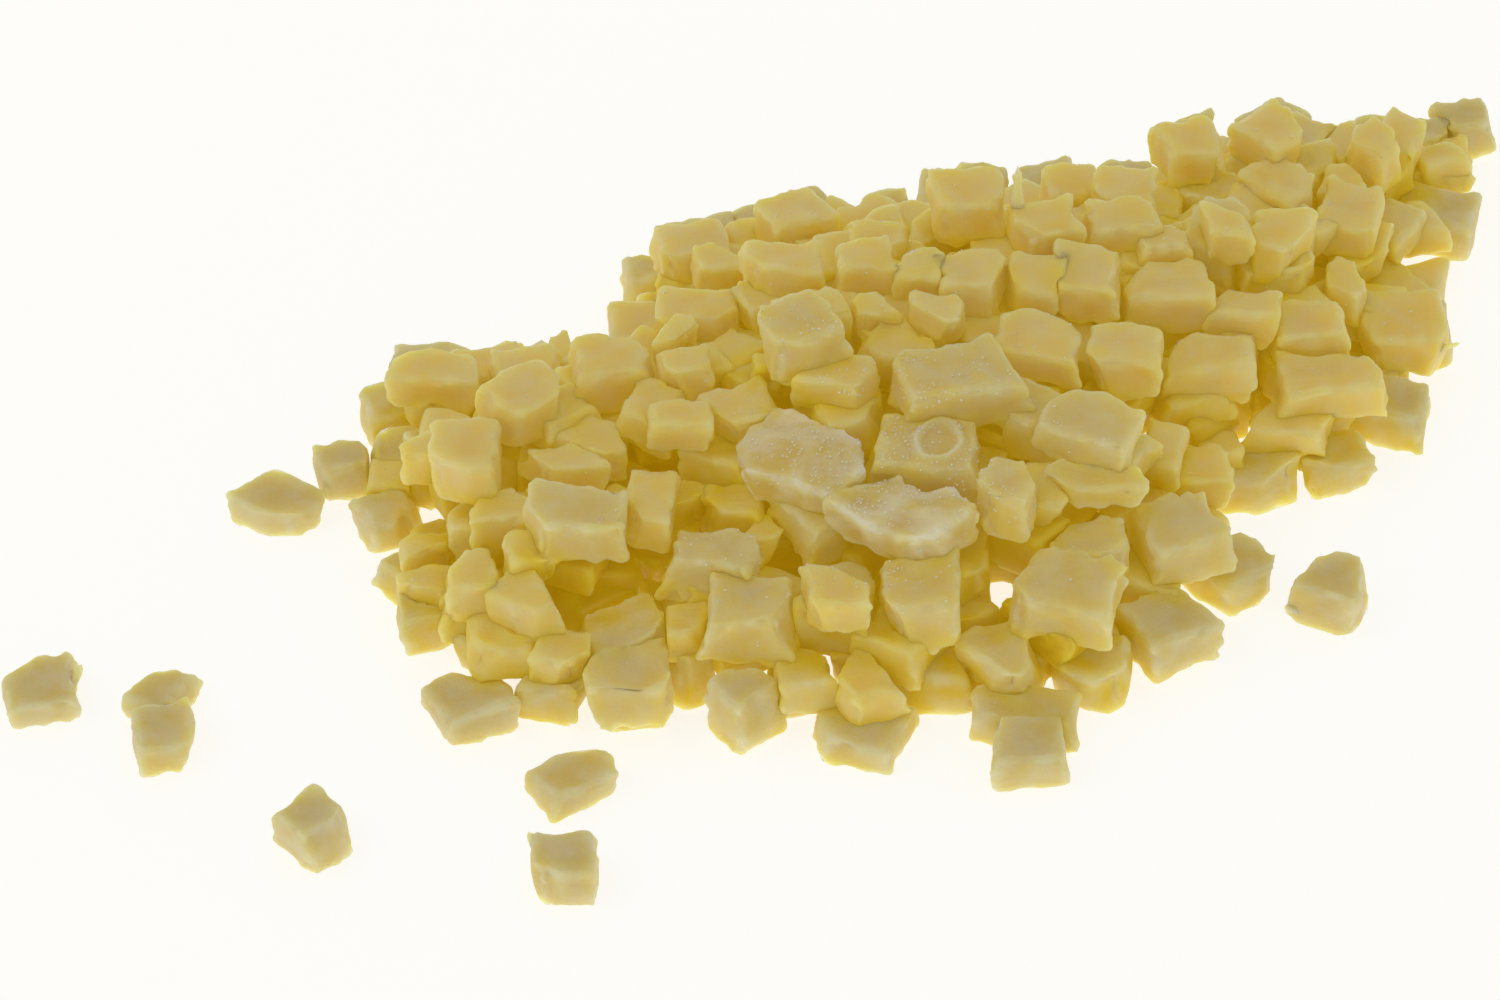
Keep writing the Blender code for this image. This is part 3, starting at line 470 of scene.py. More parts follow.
class Ground:
    """The height of whatever lies on the surface, cell by cell, and which die is on top there."""

    def __init__(self):
        self.xs = np.arange(-HALF_LENGTH, HALF_LENGTH, CELL) + CELL / 2
        self.ys = np.arange(-HALF_WIDTH, HALF_WIDTH, CELL) + CELL / 2
        self.top = np.zeros((len(self.ys), len(self.xs)))
        self.owner = np.full(self.top.shape, -1)
        self.sight_from = np.full(self.top.shape, np.inf)
        self.sight_to = np.full(self.top.shape, -np.inf)

    def keep_sight(self, x, y, half):
        """Keeps dice out of the band of sight that ends at this place on the surface."""
        climb = math.tan(math.radians(SIGHT))
        lower = (y - half - self.ys)[:, None] * climb
        upper = (y + half - self.ys)[:, None] * climb
        near = (abs(self.xs - x) < half) & (upper > 0)
        self.sight_from[near] = np.minimum(self.sight_from, np.clip(lower, 0, None))[near]
        self.sight_to[near] = np.maximum(self.sight_to, upper)[near]

    def patch(self, corners):
        """The rows and columns of the cells under these corners."""
        low, high = corners.min(axis=0), corners.max(axis=0)
        columns = slice(*np.searchsorted(self.xs, (low[0], high[0])))
        rows = slice(*np.searchsorted(self.ys, (low[1], high[1])))
        return rows, columns

    def span(self, corners, skin=0.0):
        """For the cells of the patch: the heights of the die's underside and upper side, and where it is."""
        patch = self.patch(corners)
        x, y = self.xs[patch[1]], self.ys[patch[0]][:, None]
        a, b, c = (corners[list(ends)] for ends in zip(*BLOCK_FACES))
        normal = np.cross(b - a, c - a)
        normal /= np.linalg.norm(normal, axis=1)[:, None]
        reach = (normal * a).sum(axis=1) - skin
        rise = np.where(abs(normal[:, 2]) < UPRIGHT, UPRIGHT, normal[:, 2])
        face = [part[:, None, None] / rise[:, None, None] for part in (reach, normal[:, 0], normal[:, 1])]
        planes = face[0] - face[1] * x - face[2] * y
        under = planes[rise < 0].max(axis=0)
        over = planes[rise > 0].min(axis=0)
        return patch, under, over, over > under

    def rest_height(self, corners, bed):
        """How far the die must be lifted to lie on what is under it, bedded in this deep."""
        patch, under, over, inside = self.span(corners, bed)
        if not inside.any():
            return None
        lift = max((self.top[patch] - under)[inside].max(), FLOOR_GAP - corners[:, 2].min())
        blocks = (over + lift > self.sight_from[patch]) & (under + lift < self.sight_to[patch])
        return None if (blocks & inside).any() else lift

    def lay(self, corners, number):
        """Raises the cells that the die lies over, and names it as the one on top there."""
        patch, _, over, inside = self.span(corners)
        above = inside & (over > self.top[patch])
        self.top[patch][above] = over[above]
        self.owner[patch][above] = number


# %% The height that the heap should have
def inside_distance(outline, x, y):
    """How far each point lies inside a closed outline, below zero outside it."""
    nearest = np.full(x.shape, np.inf)
    crossings = np.zeros(x.shape, bool)
    for (ax, ay), (bx, by) in zip(outline, outline[1:] + outline[:1]):
        along = ((x - ax) * (bx - ax) + (y - ay) * (by - ay)) / ((bx - ax) ** 2 + (by - ay) ** 2)
        along = np.clip(along, 0, 1)
        nearest = np.minimum(nearest, np.hypot(x - ax - along * (bx - ax), y - ay - along * (by - ay)))
        if ay != by:
            at = ax + (y - ay) / (by - ay) * (bx - ax)
            crossings ^= ((ay > y) != (by > y)) & (x < at)
    return np.where(crossings, nearest, -nearest)


def intended_height(room):
    """The heap's height at a distance in from its edge: steep at the edge, level at the crest."""
    climb = np.sin(np.clip((room - RIM_WIDTH) / (CREST_REACH - RIM_WIDTH), 0, 1) * math.pi / 2)
    return np.where(room > RIM_WIDTH, RIM_HEIGHT + (CREST_HEIGHT - RIM_HEIGHT) * climb, 0)


def by_blocks(values):
    """The mean of the cells in each square block."""
    rows, columns = values.shape[0] // BLOCK, values.shape[1] // BLOCK
    cut = values[: rows * BLOCK, : columns * BLOCK]
    return cut.reshape(rows, BLOCK, columns, BLOCK).mean(axis=(1, 3))


# %% Dropping the dice one by one
class Heap:
    """The dice laid so far, each as its eight corners, and the ground that they make."""

    def __init__(self, seed):
        self.rng = random.Random(seed)
        self.ground = Ground()
        self.dice = []
        self.x, self.y = np.meshgrid(self.ground.xs, self.ground.ys)
        self.wanted = intended_height(inside_distance(OUTLINE, self.x, self.y))
        hollows = [self.footprint(across, down, 0, *size, 0) for across, down, *size in POCKETS]
        for hollow in hollows:
            self.wanted[hollow] = np.clip(self.wanted - POCKET_DEPTH, 0, None)[hollow]

    def settle(self, block, place, turn, drift, steepest, bed=BED):
        """The lowest rest that the die finds near its place as it rocks less and less, or None."""
        draw, lean, best = self.rng.uniform, math.radians(steepest), None
        for attempt in range(ROCKS):
            loose = 1 - attempt / ROCKS
            if best is None:
                off = attempt * JITTER
                pose = (place[0] + off * draw(-1, 1), place[1] + off * draw(-1, 1), turn, 0.0, 0.0)
            else:
                x, y, turned_by, leaned, heading = best[1]
                pose = (
                    x + drift * loose * draw(-1, 1),
                    y + drift * loose * draw(-1, 1),
                    turned_by + TWIST * loose * draw(-1, 1),
                    min(lean, abs(leaned + lean * loose * draw(-1, 1))),
                    heading + math.pi * loose * draw(-1, 1),
                )
            corners = turned(block, *pose[2:]) + (pose[0], pose[1], 0)
            lift = self.ground.rest_height(corners, bed)
            if lift is None:
                continue
            cost = lift + LEVEL_PULL * math.sin(pose[3])
            if best is None or cost < best[0]:
                best = (cost, pose, corners + (0, 0, lift))
        return best and best[2]

    def lay(self, corners):
        """Leaves a die where it is."""
        self.ground.lay(corners, len(self.dice))
        self.dice.append(corners)

    def cut_by_table(self, turn, length, width, thickness):
        """A block of a table's size, and its corners turned as it is wanted."""
        skew = self.rng.uniform(-SKEW, SKEW) / 2
        block = die_corners(self.rng, length, width, thickness, skew)
        return block, turned(block, math.radians(turn), 0, 0)

    def lay_flat(self, x, y, turn, length, width, thickness):
        """A die of the edge, which lies on the surface just where it is wanted."""
        _, corners = self.cut_by_table(turn, length, width, thickness)
        self.lay(corners + (x, y, FLOOR_GAP - corners[:, 2].min()))

    def lay_seen(self, across, down, turn, length, width, thickness):
        """A die that can be told apart. It comes to rest where it is seen at these pixels."""
        block, level = self.cut_by_table(turn, length, width, thickness)
        least = None
        for height in np.arange(thickness / 2, CREST_HEIGHT + OVERFILL, LOOK_STEP):
            x, y = place_seen(across, down, height)
            lift = self.ground.rest_height(level + (x, y, 0), BED)
            if lift is not None and (least is None or abs(lift - height) < least):
                least, place = abs(lift - height), (x, y)
        if least is None:
            return
        corners = self.settle(block, place, math.radians(turn), SEEN_DRIFT, SEEN_STEEPEST)
        if corners is not None:
            self.lay(corners)

    def cell(self, x, y):
        """The row and column of the cell at this place."""
        return int((y - self.ground.ys[0]) / CELL), int((x - self.ground.xs[0]) / CELL)

    def footprint(self, across, down, turn, length, width, thickness):
        """The cells under a die whose upper side is at the wanted height and that is seen at these pixels."""
        middle = thickness / 2
        for _ in range(LOOKS):
            x, y = place_seen(across, down, middle)
            middle = max(self.wanted[self.cell(x, y)] - thickness / 2, thickness / 2)
        x, y = place_seen(across, down, middle)
        s, c = math.sin(math.radians(turn)), math.cos(math.radians(turn))
        in_length = abs((self.x - x) * c + (self.y - y) * s) < length / 2
        return in_length & (abs((self.y - y) * c - (self.x - x) * s) < width / 2)

    def bed_height(self):
        """The heap's wanted height, lower wherever a die that can be told apart will lie."""
        height = self.wanted.copy()
        for row in SEEN:
            under = self.footprint(*row)
            height[under] = np.clip(self.wanted - UNDER_SEEN, 0, None)[under]
        return height

    def drop(self, place, side, thickness, spread, bed):
        """A die of about this size, let go over this place. Returns its corners at rest, or None."""
        rng = self.rng
        block = die_corners(
            rng,
            random_side(rng, side, spread),
            random_side(rng, side, spread),
            random_side(rng, thickness, spread * THICKNESS_PLAY),
            rng.uniform(-SKEW, SKEW),
        )
        return self.settle(block, place, rng.uniform(0, math.pi), DRIFT, STEEPEST, bed)

    def fill(self, height, size, full, bare=()):
        """Drops dice where the heap is lowest below this height, and none on the dice numbered bare."""
        ground = self.ground
        tries = np.zeros(by_blocks(height).shape, int)
        tries[by_blocks(np.isin(ground.owner, list(bare))) > SEEN_BARE] = TRIES
        while True:
            gap = by_blocks(height - ground.top)
            gap[tries >= TRIES] = 0
            row, column = np.unravel_index(gap.argmax(), gap.shape)
            if gap[row, column] < full:
                return
            x = ground.xs[0] + (column + self.rng.random()) * BLOCK * CELL
            y = ground.ys[0] + (row + self.rng.random()) * BLOCK * CELL
            corners = self.drop((x, y), *size)
            if corners is None or not self.fits(corners, height):
                tries[row, column] += 1
            else:
                self.lay(corners)

    def fits(self, corners, height):
        """Whether a die lies over the heap's own ground and not far above its height there."""
        x, y, _ = corners.mean(axis=0)
        wanted = height[self.cell(x, y)]
        return wanted > 0 and corners[:, 2].max() <= wanted + OVERFILL

    def shows(self, number):
        """Whether a die lies on top over enough of its own width."""
        patch, _, _, inside = self.ground.span(self.dice[number])
        return (self.ground.owner[patch] == number).sum() > SHOWS * inside.sum()


# %% Lay the heap: the edge, the lower layers, the large dice, then the rest
heap = Heap(HEAP_SEED)
for gap in GAPS:
    heap.ground.keep_sight(*gap)
for row in RIM:
    heap.lay_flat(*row)
USUAL = (SIDE, THICKNESS, SIDE_SPREAD, BED)
SMALL = (SMALL_SIDE, SMALL_THICKNESS, SMALL_SPREAD, SMALL_BED)
heap.fill(heap.bed_height(), USUAL, FULL)
first_seen = len(heap.dice)
for row in SEEN:
    heap.lay_seen(*row)
first_upper = len(heap.dice)
heap.fill(heap.wanted, USUAL, FULL, bare=range(first_seen, first_upper))
first_small = len(heap.dice)
heap.fill(heap.wanted, SMALL, SMALL_FULL, bare=range(first_seen, first_upper))
print(f"{first_seen} dice, then {first_upper - first_seen} that can be told apart")
print(f"{first_small} dice in all, and {len(heap.dice) - first_small} small ones")

# %% [markdown]
# ## The form of one die
#
# A knife cuts six flat faces, but syrup and drying soften them. The edges go round, each face sinks a
# little in its middle, a corner or two is missing, and the torn fibres leave the edges ragged. A Bevel
# and a Displace modifier could do this for one die. For hundreds, it is quicker to move all the points
# of one cube grid by numpy: the grid is rounded and worn as a straight block, in millimetres, and then
# bent to the eight corners that the die was laid with.

# %% A cube's surface as a grid of squares, finer towards the edges, where it curves
EDGE_CROWDING = 1.25  # radians of a sine; more puts more points near the edges


def cube_grid(steps):
    """Points from -1 to 1 on a cube's surface, and the squares between them."""
    numbers, places, squares = {}, [], []
    for axis, side in itertools.product(range(3), (0, steps)):
        for i, j in itertools.product(range(steps), repeat=2):
            ring = [(i, j), (i + 1, j), (i + 1, j + 1), (i, j + 1)]
            square = []
            for a, b in ring if side else reversed(ring):
                place = [0, 0, 0]
                place[axis], place[(axis + 1) % 3], place[(axis + 2) % 3] = side, a, b
                key = tuple(place)
                if key not in numbers:
                    numbers[key] = len(places)
                    places.append(key)
                square.append(numbers[key])
            squares.append(square)
    straight = np.array(places) / steps * 2 - 1
    return np.sin(straight * EDGE_CROWDING) / math.sin(EDGE_CROWDING), np.array(squares)


# %% Smooth random bumps
chance = np.random.default_rng(WEAR_SEED)
LATTICE_SIZE = 32
LATTICE = chance.uniform(-1, 1, (LATTICE_SIZE,) * 3 + (3,))


def bumps(points, apart):
    """A smooth random vector at each point, from -1 to 1, that changes over this distance."""
    cell = np.floor(points / apart).astype(int)
    part = points / apart - cell
    part = part * part * (3 - 2 * part)
    total = np.zeros(points.shape)
    for corner in itertools.product((0, 1), repeat=3):
        weight = np.prod(np.where(corner, part, 1 - part), axis=-1)
        at = (cell + corner) % LATTICE_SIZE
        total += weight[..., None] * LATTICE[at[..., 0], at[..., 1], at[..., 2]]
    return total


# %% How one kind of die is worn, in mm
ROUNDING = 0.7  # radius of the corners seen from above
ROUNDEST = (0.7, 0.7, 0.95)  # the most that an edge may round off, as a share of half the die
EDGE_WIDTH = 0.9  # how far in from an edge the sugar film fades
SWOLLEN = 0.3  # what syrup adds on each side, and the round edges take away again
PLAIN = {
    "steps": 14,  # squares along an edge of the grid
    "bend": 2.0,  # how far down from its upper face a side bends over
    "sink": 0.05,  # how far the middle of a face sinks
    "swell": 0.7,  # how far the whole die is pulled out of shape
    "lumps": 0.3,  # height of the lumps on its faces
    "ragged": 0.62,  # height of the torn fibres along its edges
    "missing": 3,  # corners that may be cut off
    "bite": (0.8, 2.6),  # how deep such a cut goes
}


def side_halves(corners):
    """Half the length, width and thickness of each die, from its corners."""
    halves = []
    for axis in range(3):
        low = corners[:, CORNER_SIGNS[:, axis] < 0].mean(axis=1)
        high = corners[:, CORNER_SIGNS[:, axis] > 0].mean(axis=1)
        halves.append(np.linalg.norm(high - low, axis=1) / 2)
    return np.stack(halves, axis=1)


def rounded(grid, halves, bend):
    """The grid stretched to each die's size, with round edges, in mm, and the way out at each point."""
    flat = grid[None] * halves[:, None]
    radius = np.minimum((ROUNDING, ROUNDING, bend), halves * ROUNDEST)[:, None]
    inner = np.clip(flat, radius - halves[:, None], halves[:, None] - radius)
    round_part = (flat - inner) / radius
    round_part /= np.linalg.norm(round_part, axis=2, keepdims=True)
    out = round_part / radius
    out /= np.linalg.norm(out, axis=2, keepdims=True)
    return inner + round_part * radius, out


# %% Cut off corners
CUT_SLANT = (0.45, 1.1)  # radians between a cut and the die's length
CUT_LEAN = (0, 0.35)  # how far a cut leans over
CUT_SOFTNESS = 0.12  # mm over which its edge is rounded
CORNER_LOST = 0.5  # the share of the rounding that a corner has lost anyway


def corners_off(points, halves, missing, bite):
    """Cuts off up to this many upright corners of each die, each by a plane at a chance angle."""
    count = len(halves)
    for _ in range(missing):
        slant = chance.uniform(*CUT_SLANT, count)
        sign = chance.choice((-1, 1), (count, 3))
        across = np.stack((np.cos(slant), np.sin(slant), chance.uniform(*CUT_LEAN, count)), axis=1) * sign
        across /= np.linalg.norm(across, axis=1, keepdims=True)
        depth = chance.uniform(*bite, count) * chance.choice((0, 1), count)
        reach = (abs(across) * halves).sum(axis=1) - depth - ROUNDING * CORNER_LOST
        beyond = (points * across[:, None]).sum(axis=2) - reach[:, None]
        beyond = CUT_SOFTNESS * np.logaddexp(0, beyond / CUT_SOFTNESS)
        points = points - across[:, None] * (beyond * (depth > 0)[:, None])[..., None]
    return points


# %% Wear a batch of dice and bend them to their corners
SWELL_LENGTH = 6.0  # mm between the bumps that pull a die out of shape
LUMP_LENGTH = 2.4
RAGGED_LENGTH = 1.4
FRAY_LENGTH = 0.7  # the finest fibres
FRAY_SHARE = 0.3  # their height as a share of the ragged edge's
OWN_RANGE = 200  # mm between which each die's own coordinates start, so that no two look alike
ON_FACE = 0.999  # a grid point past this lies on a face


def worn_dice(corners, wear):
    """Points of each die, its squares, how near each point is to an edge, and its own coordinates in mm."""
    grid, squares = cube_grid(wear["steps"])
    halves = side_halves(corners)
    points, out = rounded(grid, halves + SWOLLEN, wear["bend"])
    inwards = np.sort(halves[:, None] + SWOLLEN - abs(points), axis=2)[..., 1]
    edge = np.exp(-(inwards / EDGE_WIDTH) ** 2)
    on_face = abs(grid) > ON_FACE
    hollow = np.prod(1 - np.where(on_face, 0, grid) ** 2, axis=1) * (on_face.sum(axis=1) == 1)
    face = np.where(on_face, np.sign(grid), 0)
    points = points - wear["sink"] * (hollow[:, None] * face)[None]
    points = corners_off(points, halves, wear["missing"], wear["bite"])
    own = points + chance.uniform(0, OWN_RANGE, (len(corners), 1, 3))
    points = points + wear["swell"] * bumps(own, SWELL_LENGTH)
    relief = wear["lumps"] * bumps(own, LUMP_LENGTH)[..., 0]
    relief += wear["ragged"] * bumps(own, RAGGED_LENGTH)[..., 1] * edge
    relief += FRAY_SHARE * wear["ragged"] * bumps(own, FRAY_LENGTH)[..., 2] * edge
    points = points + out * relief[..., None]
    share = points / halves[:, None]
    weights = np.prod(1 + CORNER_SIGNS[:, None, None] * share[None], axis=3) / 8
    placed = np.einsum("cdp,dcx->dpx", weights, corners)
    return placed, squares, edge, own


# %% [markdown]
# ## Soft dice that touch
#
# The dice are sticky and soft, so where two touch, both go flat and they meet face to face. If their
# meshes ran through each other instead, light inside one would come out in the dark inside of the other,
# and the contact would be drawn as a dark line. So each point that lies inside a neighbour is pushed
# half the way out, and the neighbour's points give up the other half.

# %% The faces of each block, as planes
def face_planes(corners):
    """Each die's six outward face normals and how far out the faces lie, ordered in three opposite pairs."""
    normals, reaches = [], []
    middle = corners.mean(axis=1)
    for axis, side in itertools.product(range(3), (1, -1)):
        of_face = corners[:, CORNER_SIGNS[:, axis] == side]
        normal = np.cross(of_face[:, 3] - of_face[:, 0], of_face[:, 2] - of_face[:, 1])
        normal /= np.linalg.norm(normal, axis=1, keepdims=True)
        centre = of_face.mean(axis=1)
        normal *= np.sign(((centre - middle) * normal).sum(axis=1))[:, None]
        normals.append(normal)
        reaches.append((centre * normal).sum(axis=1) + SWOLLEN)
    return np.stack(normals, axis=1), np.stack(reaches, axis=1)


NO_LENGTH = 1e-9  # mm; anything shorter has no direction


def distance_from(points, normals, reaches):
    """How far points lie outside one rounded block, below zero inside it, and the way out of it."""
    beyond = (points @ normals.T - reaches).reshape(-1, 3, 2)
    side = beyond.argmax(axis=2)
    out = normals.reshape(3, 2, 3)[np.arange(3), side]
    past = np.take_along_axis(beyond, side[..., None], axis=2)[..., 0] + ROUNDING
    outer = np.maximum(past, 0)
    length = np.linalg.norm(outer, axis=1)
    deep = past.max(axis=1)
    inside = deep <= 0
    weight = np.where(inside[:, None], past == deep[:, None], outer / np.maximum(length, NO_LENGTH)[:, None])
    way = (weight[..., None] * out).sum(axis=1)
    return np.where(inside, deep, length) - ROUNDING, way / np.linalg.norm(way, axis=1, keepdims=True)


# %% Press the dice of the heap together
CONTACT_GAP = 0.04  # mm left between two faces that touch
MOST_PRESSED = 2.0  # mm that one neighbour may push a point
all_corners = np.array(heap.dice)
all_normals, all_reaches = face_planes(all_corners)
all_middles = all_corners.mean(axis=1)
all_radii = np.linalg.norm(all_corners - all_middles[:, None], axis=2).max(axis=1) + SWOLLEN


def pressed(points, number):
    """The points of die number, flattened against its neighbours, and how near each is to one of them."""
    apart = np.linalg.norm(all_middles - all_middles[number], axis=1)
    nearest = np.full(len(points), np.inf)
    shift = np.zeros(points.shape)
    for other in np.flatnonzero(apart < all_radii + all_radii[number]):
        if other == number:
            continue
        distance, way = distance_from(points, all_normals[other], all_reaches[other])
        nearest = np.minimum(nearest, distance)
        shift += way * np.clip((CONTACT_GAP - distance) / 2, 0, MOST_PRESSED)[:, None]
    return points + shift, nearest


# %% One mesh from many dice
def joined_mesh(name, points, squares):
    """A smooth mesh from points in mm and the squares of each die, numbered from its own first point."""
    dice, each = points.shape[:2]
    rings = (squares[None] + np.arange(dice)[:, None, None] * each).reshape(-1, 4)
    mesh = bpy.data.meshes.new(name)
    mesh.vertices.add(dice * each)
    mesh.vertices.foreach_set("co", ((points - (*MIDDLE, 0)) * MM).astype(np.float32).ravel())
    mesh.loops.add(rings.size)
    mesh.loops.foreach_set("vertex_index", rings.astype(np.int32).ravel())
    mesh.polygons.add(len(rings))
    mesh.polygons.foreach_set("loop_start", np.arange(0, rings.size, 4, dtype=np.int32))
    mesh.update(calc_edges=True)
    mesh.shade_smooth()
    return mesh


# %% [markdown]
# ## How deep a place lies in the heap
#
# Between the dice, light reaches the eye only after it has passed through a lot of yellow flesh, so the
# hollows glow amber. The shader can't count the dice that the light went through. What can be counted is
# how far a point lies below the top of the heap around it, so each point keeps that as a number.

# %% Depth below the heap's top
def spread_out(heights, reach):
    """Each cell's highest neighbour within this many mm."""
    cells = int(reach / CELL)
    found = heights.copy()
    for dy, dx in itertools.product(range(-cells, cells + 1), repeat=2):
        if dx * dx + dy * dy <= cells * cells:
            found = np.maximum(found, np.roll(heights, (dy, dx), axis=(0, 1)))
    return found


def smoothed(heights, reach):
    """The mean of each cell's neighbours in a square of this half width in mm."""
    cells = int(reach / CELL)
    width = 2 * cells + 1
    padded = np.pad(heights, cells, mode="edge")
    rows = sum(padded[i : i + heights.shape[0]] for i in range(width)) / width
    return sum(rows[:, i : i + heights.shape[1]] for i in range(width)) / width


TOP_REACH = 4.0  # mm within which the highest die counts as the heap's top
TOP_BLUR = 3.0
DEPTH_START = 1.8  # mm below the top, at which the flesh starts to be painted deeper, as shade
DEPTH_FULL = 10.0
heap_top = smoothed(spread_out(heap.ground.top, TOP_REACH), TOP_BLUR)


def depth_below(points):
    """0 at the top of the heap and 1 deep inside it, for points in mm."""
    rows, columns = (
        np.clip(((points[..., axis] - line[0]) / CELL).astype(int), 0, len(line) - 1)
        for axis, line in ((1, heap.ground.ys), (0, heap.ground.xs))
    )
    below = heap_top[rows, columns] - points[..., 2]
    return np.clip((below - DEPTH_START) / (DEPTH_FULL - DEPTH_START), 0, 1)


# %% [markdown]
# ## Candied flesh
#
# Candied fruit is a gel of sugar, pectin and fibre. Light goes a few millimetres into it before it comes
# back, blue light hardly at all, which makes it yellow and gives it soft edges. A volume inside each die
# could show that, but would take many more samples. Random walk subsurface scattering gives the same look
# near the surface. What it leaves out is light that has crossed several dice. In its place the flesh is
# painted a deeper yellow as shade in the hollows and where dice touch, and amber deeper in the heap, and a
# weak painted glow is added, faint all over and stronger in the same places. The surface is waxy, with an
# index of refraction of about 1.46, and rough where sugar has dried on it. The film of sugar is paler than
# the flesh and sits along the edges, where it is also painted light that shines through the thin flesh.

# %% What the mesh tells about each place
def read_places(tree):
    """Its die's tone, nearness to an edge, depth in the heap, nearness to a neighbour, own coordinates."""
    look = add(tree, "Attribute", {}, attribute_name="look")
    own = add(tree, "Attribute", {}, attribute_name="own")
    parts = add(tree, "SeparateColor", {"Color": look.outputs["Color"]})
    tone, edge, depth = (parts.outputs[part] for part in ("Red", "Green", "Blue"))
    return tone, edge, depth, look.outputs["Alpha"], own.outputs["Vector"]


# %% Colours laid over each other
def layered(tree, first, layers):
    """The first colour with each next one laid over it, as far as that one's factor goes."""
    colour = linear(first)
    for factor, over in layers:
        inputs = {0: factor, 6: colour, 7: linear(over)}  # its inputs 6 and 7 are the two colours
        colour = add(tree, "Mix", inputs, data_type="RGBA").outputs[2]
    return colour


# %% The film of dried sugar, which along the edges is also painted light through the thin flesh
CLOUD_WIDTH = 3.5714  # mm across a patch of film on a face
CLOUD_RANGE = (0.38, 0.62)  # the values of the noise between which a patch fades
CLOUD_FILM = 0.6  # how thick the film is in a patch
EDGE_FILM_AND_LIGHT = 0.6  # how much thicker along an edge, where it is also painted light through the thin flesh


def film_and_edge_light(tree, edge, own, share):
    """How much of the flesh the film hides: patches on the faces, and more along the edges, where it is also
    painted light through the thin flesh.
    """
    cloud = add(tree, "TexNoise", {"Vector": own, "Scale": 1 / CLOUD_WIDTH, "Detail": 3})
    fade = {"From Min": CLOUD_RANGE[0], "From Max": CLOUD_RANGE[1], "To Max": CLOUD_FILM}
    patchy = add(tree, "MapRange", {"Value": cloud.outputs["Fac"], **fade})
    rim = add(tree, "Math", {0: edge, 1: EDGE_FILM_AND_LIGHT, 2: patchy.outputs[0]}, operation="MULTIPLY_ADD")
    film_and_edge_light_share = add(tree, "Math", {0: rim.outputs[0], 1: share}, operation="MULTIPLY", use_clamp=True)
    return film_and_edge_light_share.outputs[0]


# %% Fibres and crystals on the surface
FIBRE_WIDTH = 0.5  # mm across the bundles of fibre that run through a die
FIBRE_STRETCH = 0.12  # their width as a share of their length
FIBRE_BUMP = {"Strength": 0.35, "Distance": 0.25 * MM}
SUGAR_GRAIN = 0.35  # mm, the crystals of the film
GRAIN_STRENGTH = 0.9
GRAIN_HEIGHT = 0.15 * MM
DULLER, SHINIER = 0.15, 0.1  # how far the roughness strays from grain to grain


def flesh_surface(tree, own, film_share, roughness):
    """The slope of the surface, ridged by fibres and grainy with sugar, and its roughness."""
    along = add(tree, "Mapping", {"Vector": own, "Scale": (FIBRE_STRETCH, 1, 1)})
    fibre = add(tree, "TexNoise", {"Vector": along.outputs[0], "Scale": 1 / FIBRE_WIDTH, "Detail": 2})
    grain = add(tree, "TexNoise", {"Vector": own, "Scale": 1 / SUGAR_GRAIN, "Detail": 2})
    ridges = add(tree, "Bump", {**FIBRE_BUMP, "Height": fibre.outputs["Fac"]})
    sugary = {"Strength": GRAIN_STRENGTH * film_share, "Distance": GRAIN_HEIGHT}
    slope = add(tree, "Bump", {**sugary, "Height": grain.outputs["Fac"], "Normal": ridges.outputs[0]})
    stray = {"To Min": roughness - SHINIER, "To Max": roughness + DULLER}
    waxy = add(tree, "MapRange", {"Value": grain.outputs["Fac"], **stray})
    return slope.outputs[0], waxy.outputs[0]


# %% The flesh
AMBER = "#d8ba24"  # painted shade: the flesh of the hollows, as it looks seen through a lot more flesh
AMBER_FROM = 0.35  # the depth at which it starts to show
TOUCH_DEPTH = 0.5  # a touching neighbour paints shade on the flesh as this much depth does
INNER_LIGHT = "#fae87c"  # painted glow for light that comes through a die from its far side
NEIGHBOUR_LIGHT = "#fbe82a"  # painted glow for light that comes through its neighbours
HOLLOW_LIGHT = "#f8da12"  # painted glow for light that comes through many dice
# Strength of the painted glow: a little all over the flesh, and more in the hollows and where dice touch
INNER_GLOW = 0.04
HOLLOW_GLOW = 0.06
FREE_SCATTER = 5.0  # mm that light goes into the flesh
TOUCHING_SCATTER = 2.0  # the same by a neighbour, where light that goes further doesn't come back
SCATTER_SHARES = (1.0, 1.0, 0.3)  # how far red, green and blue light get


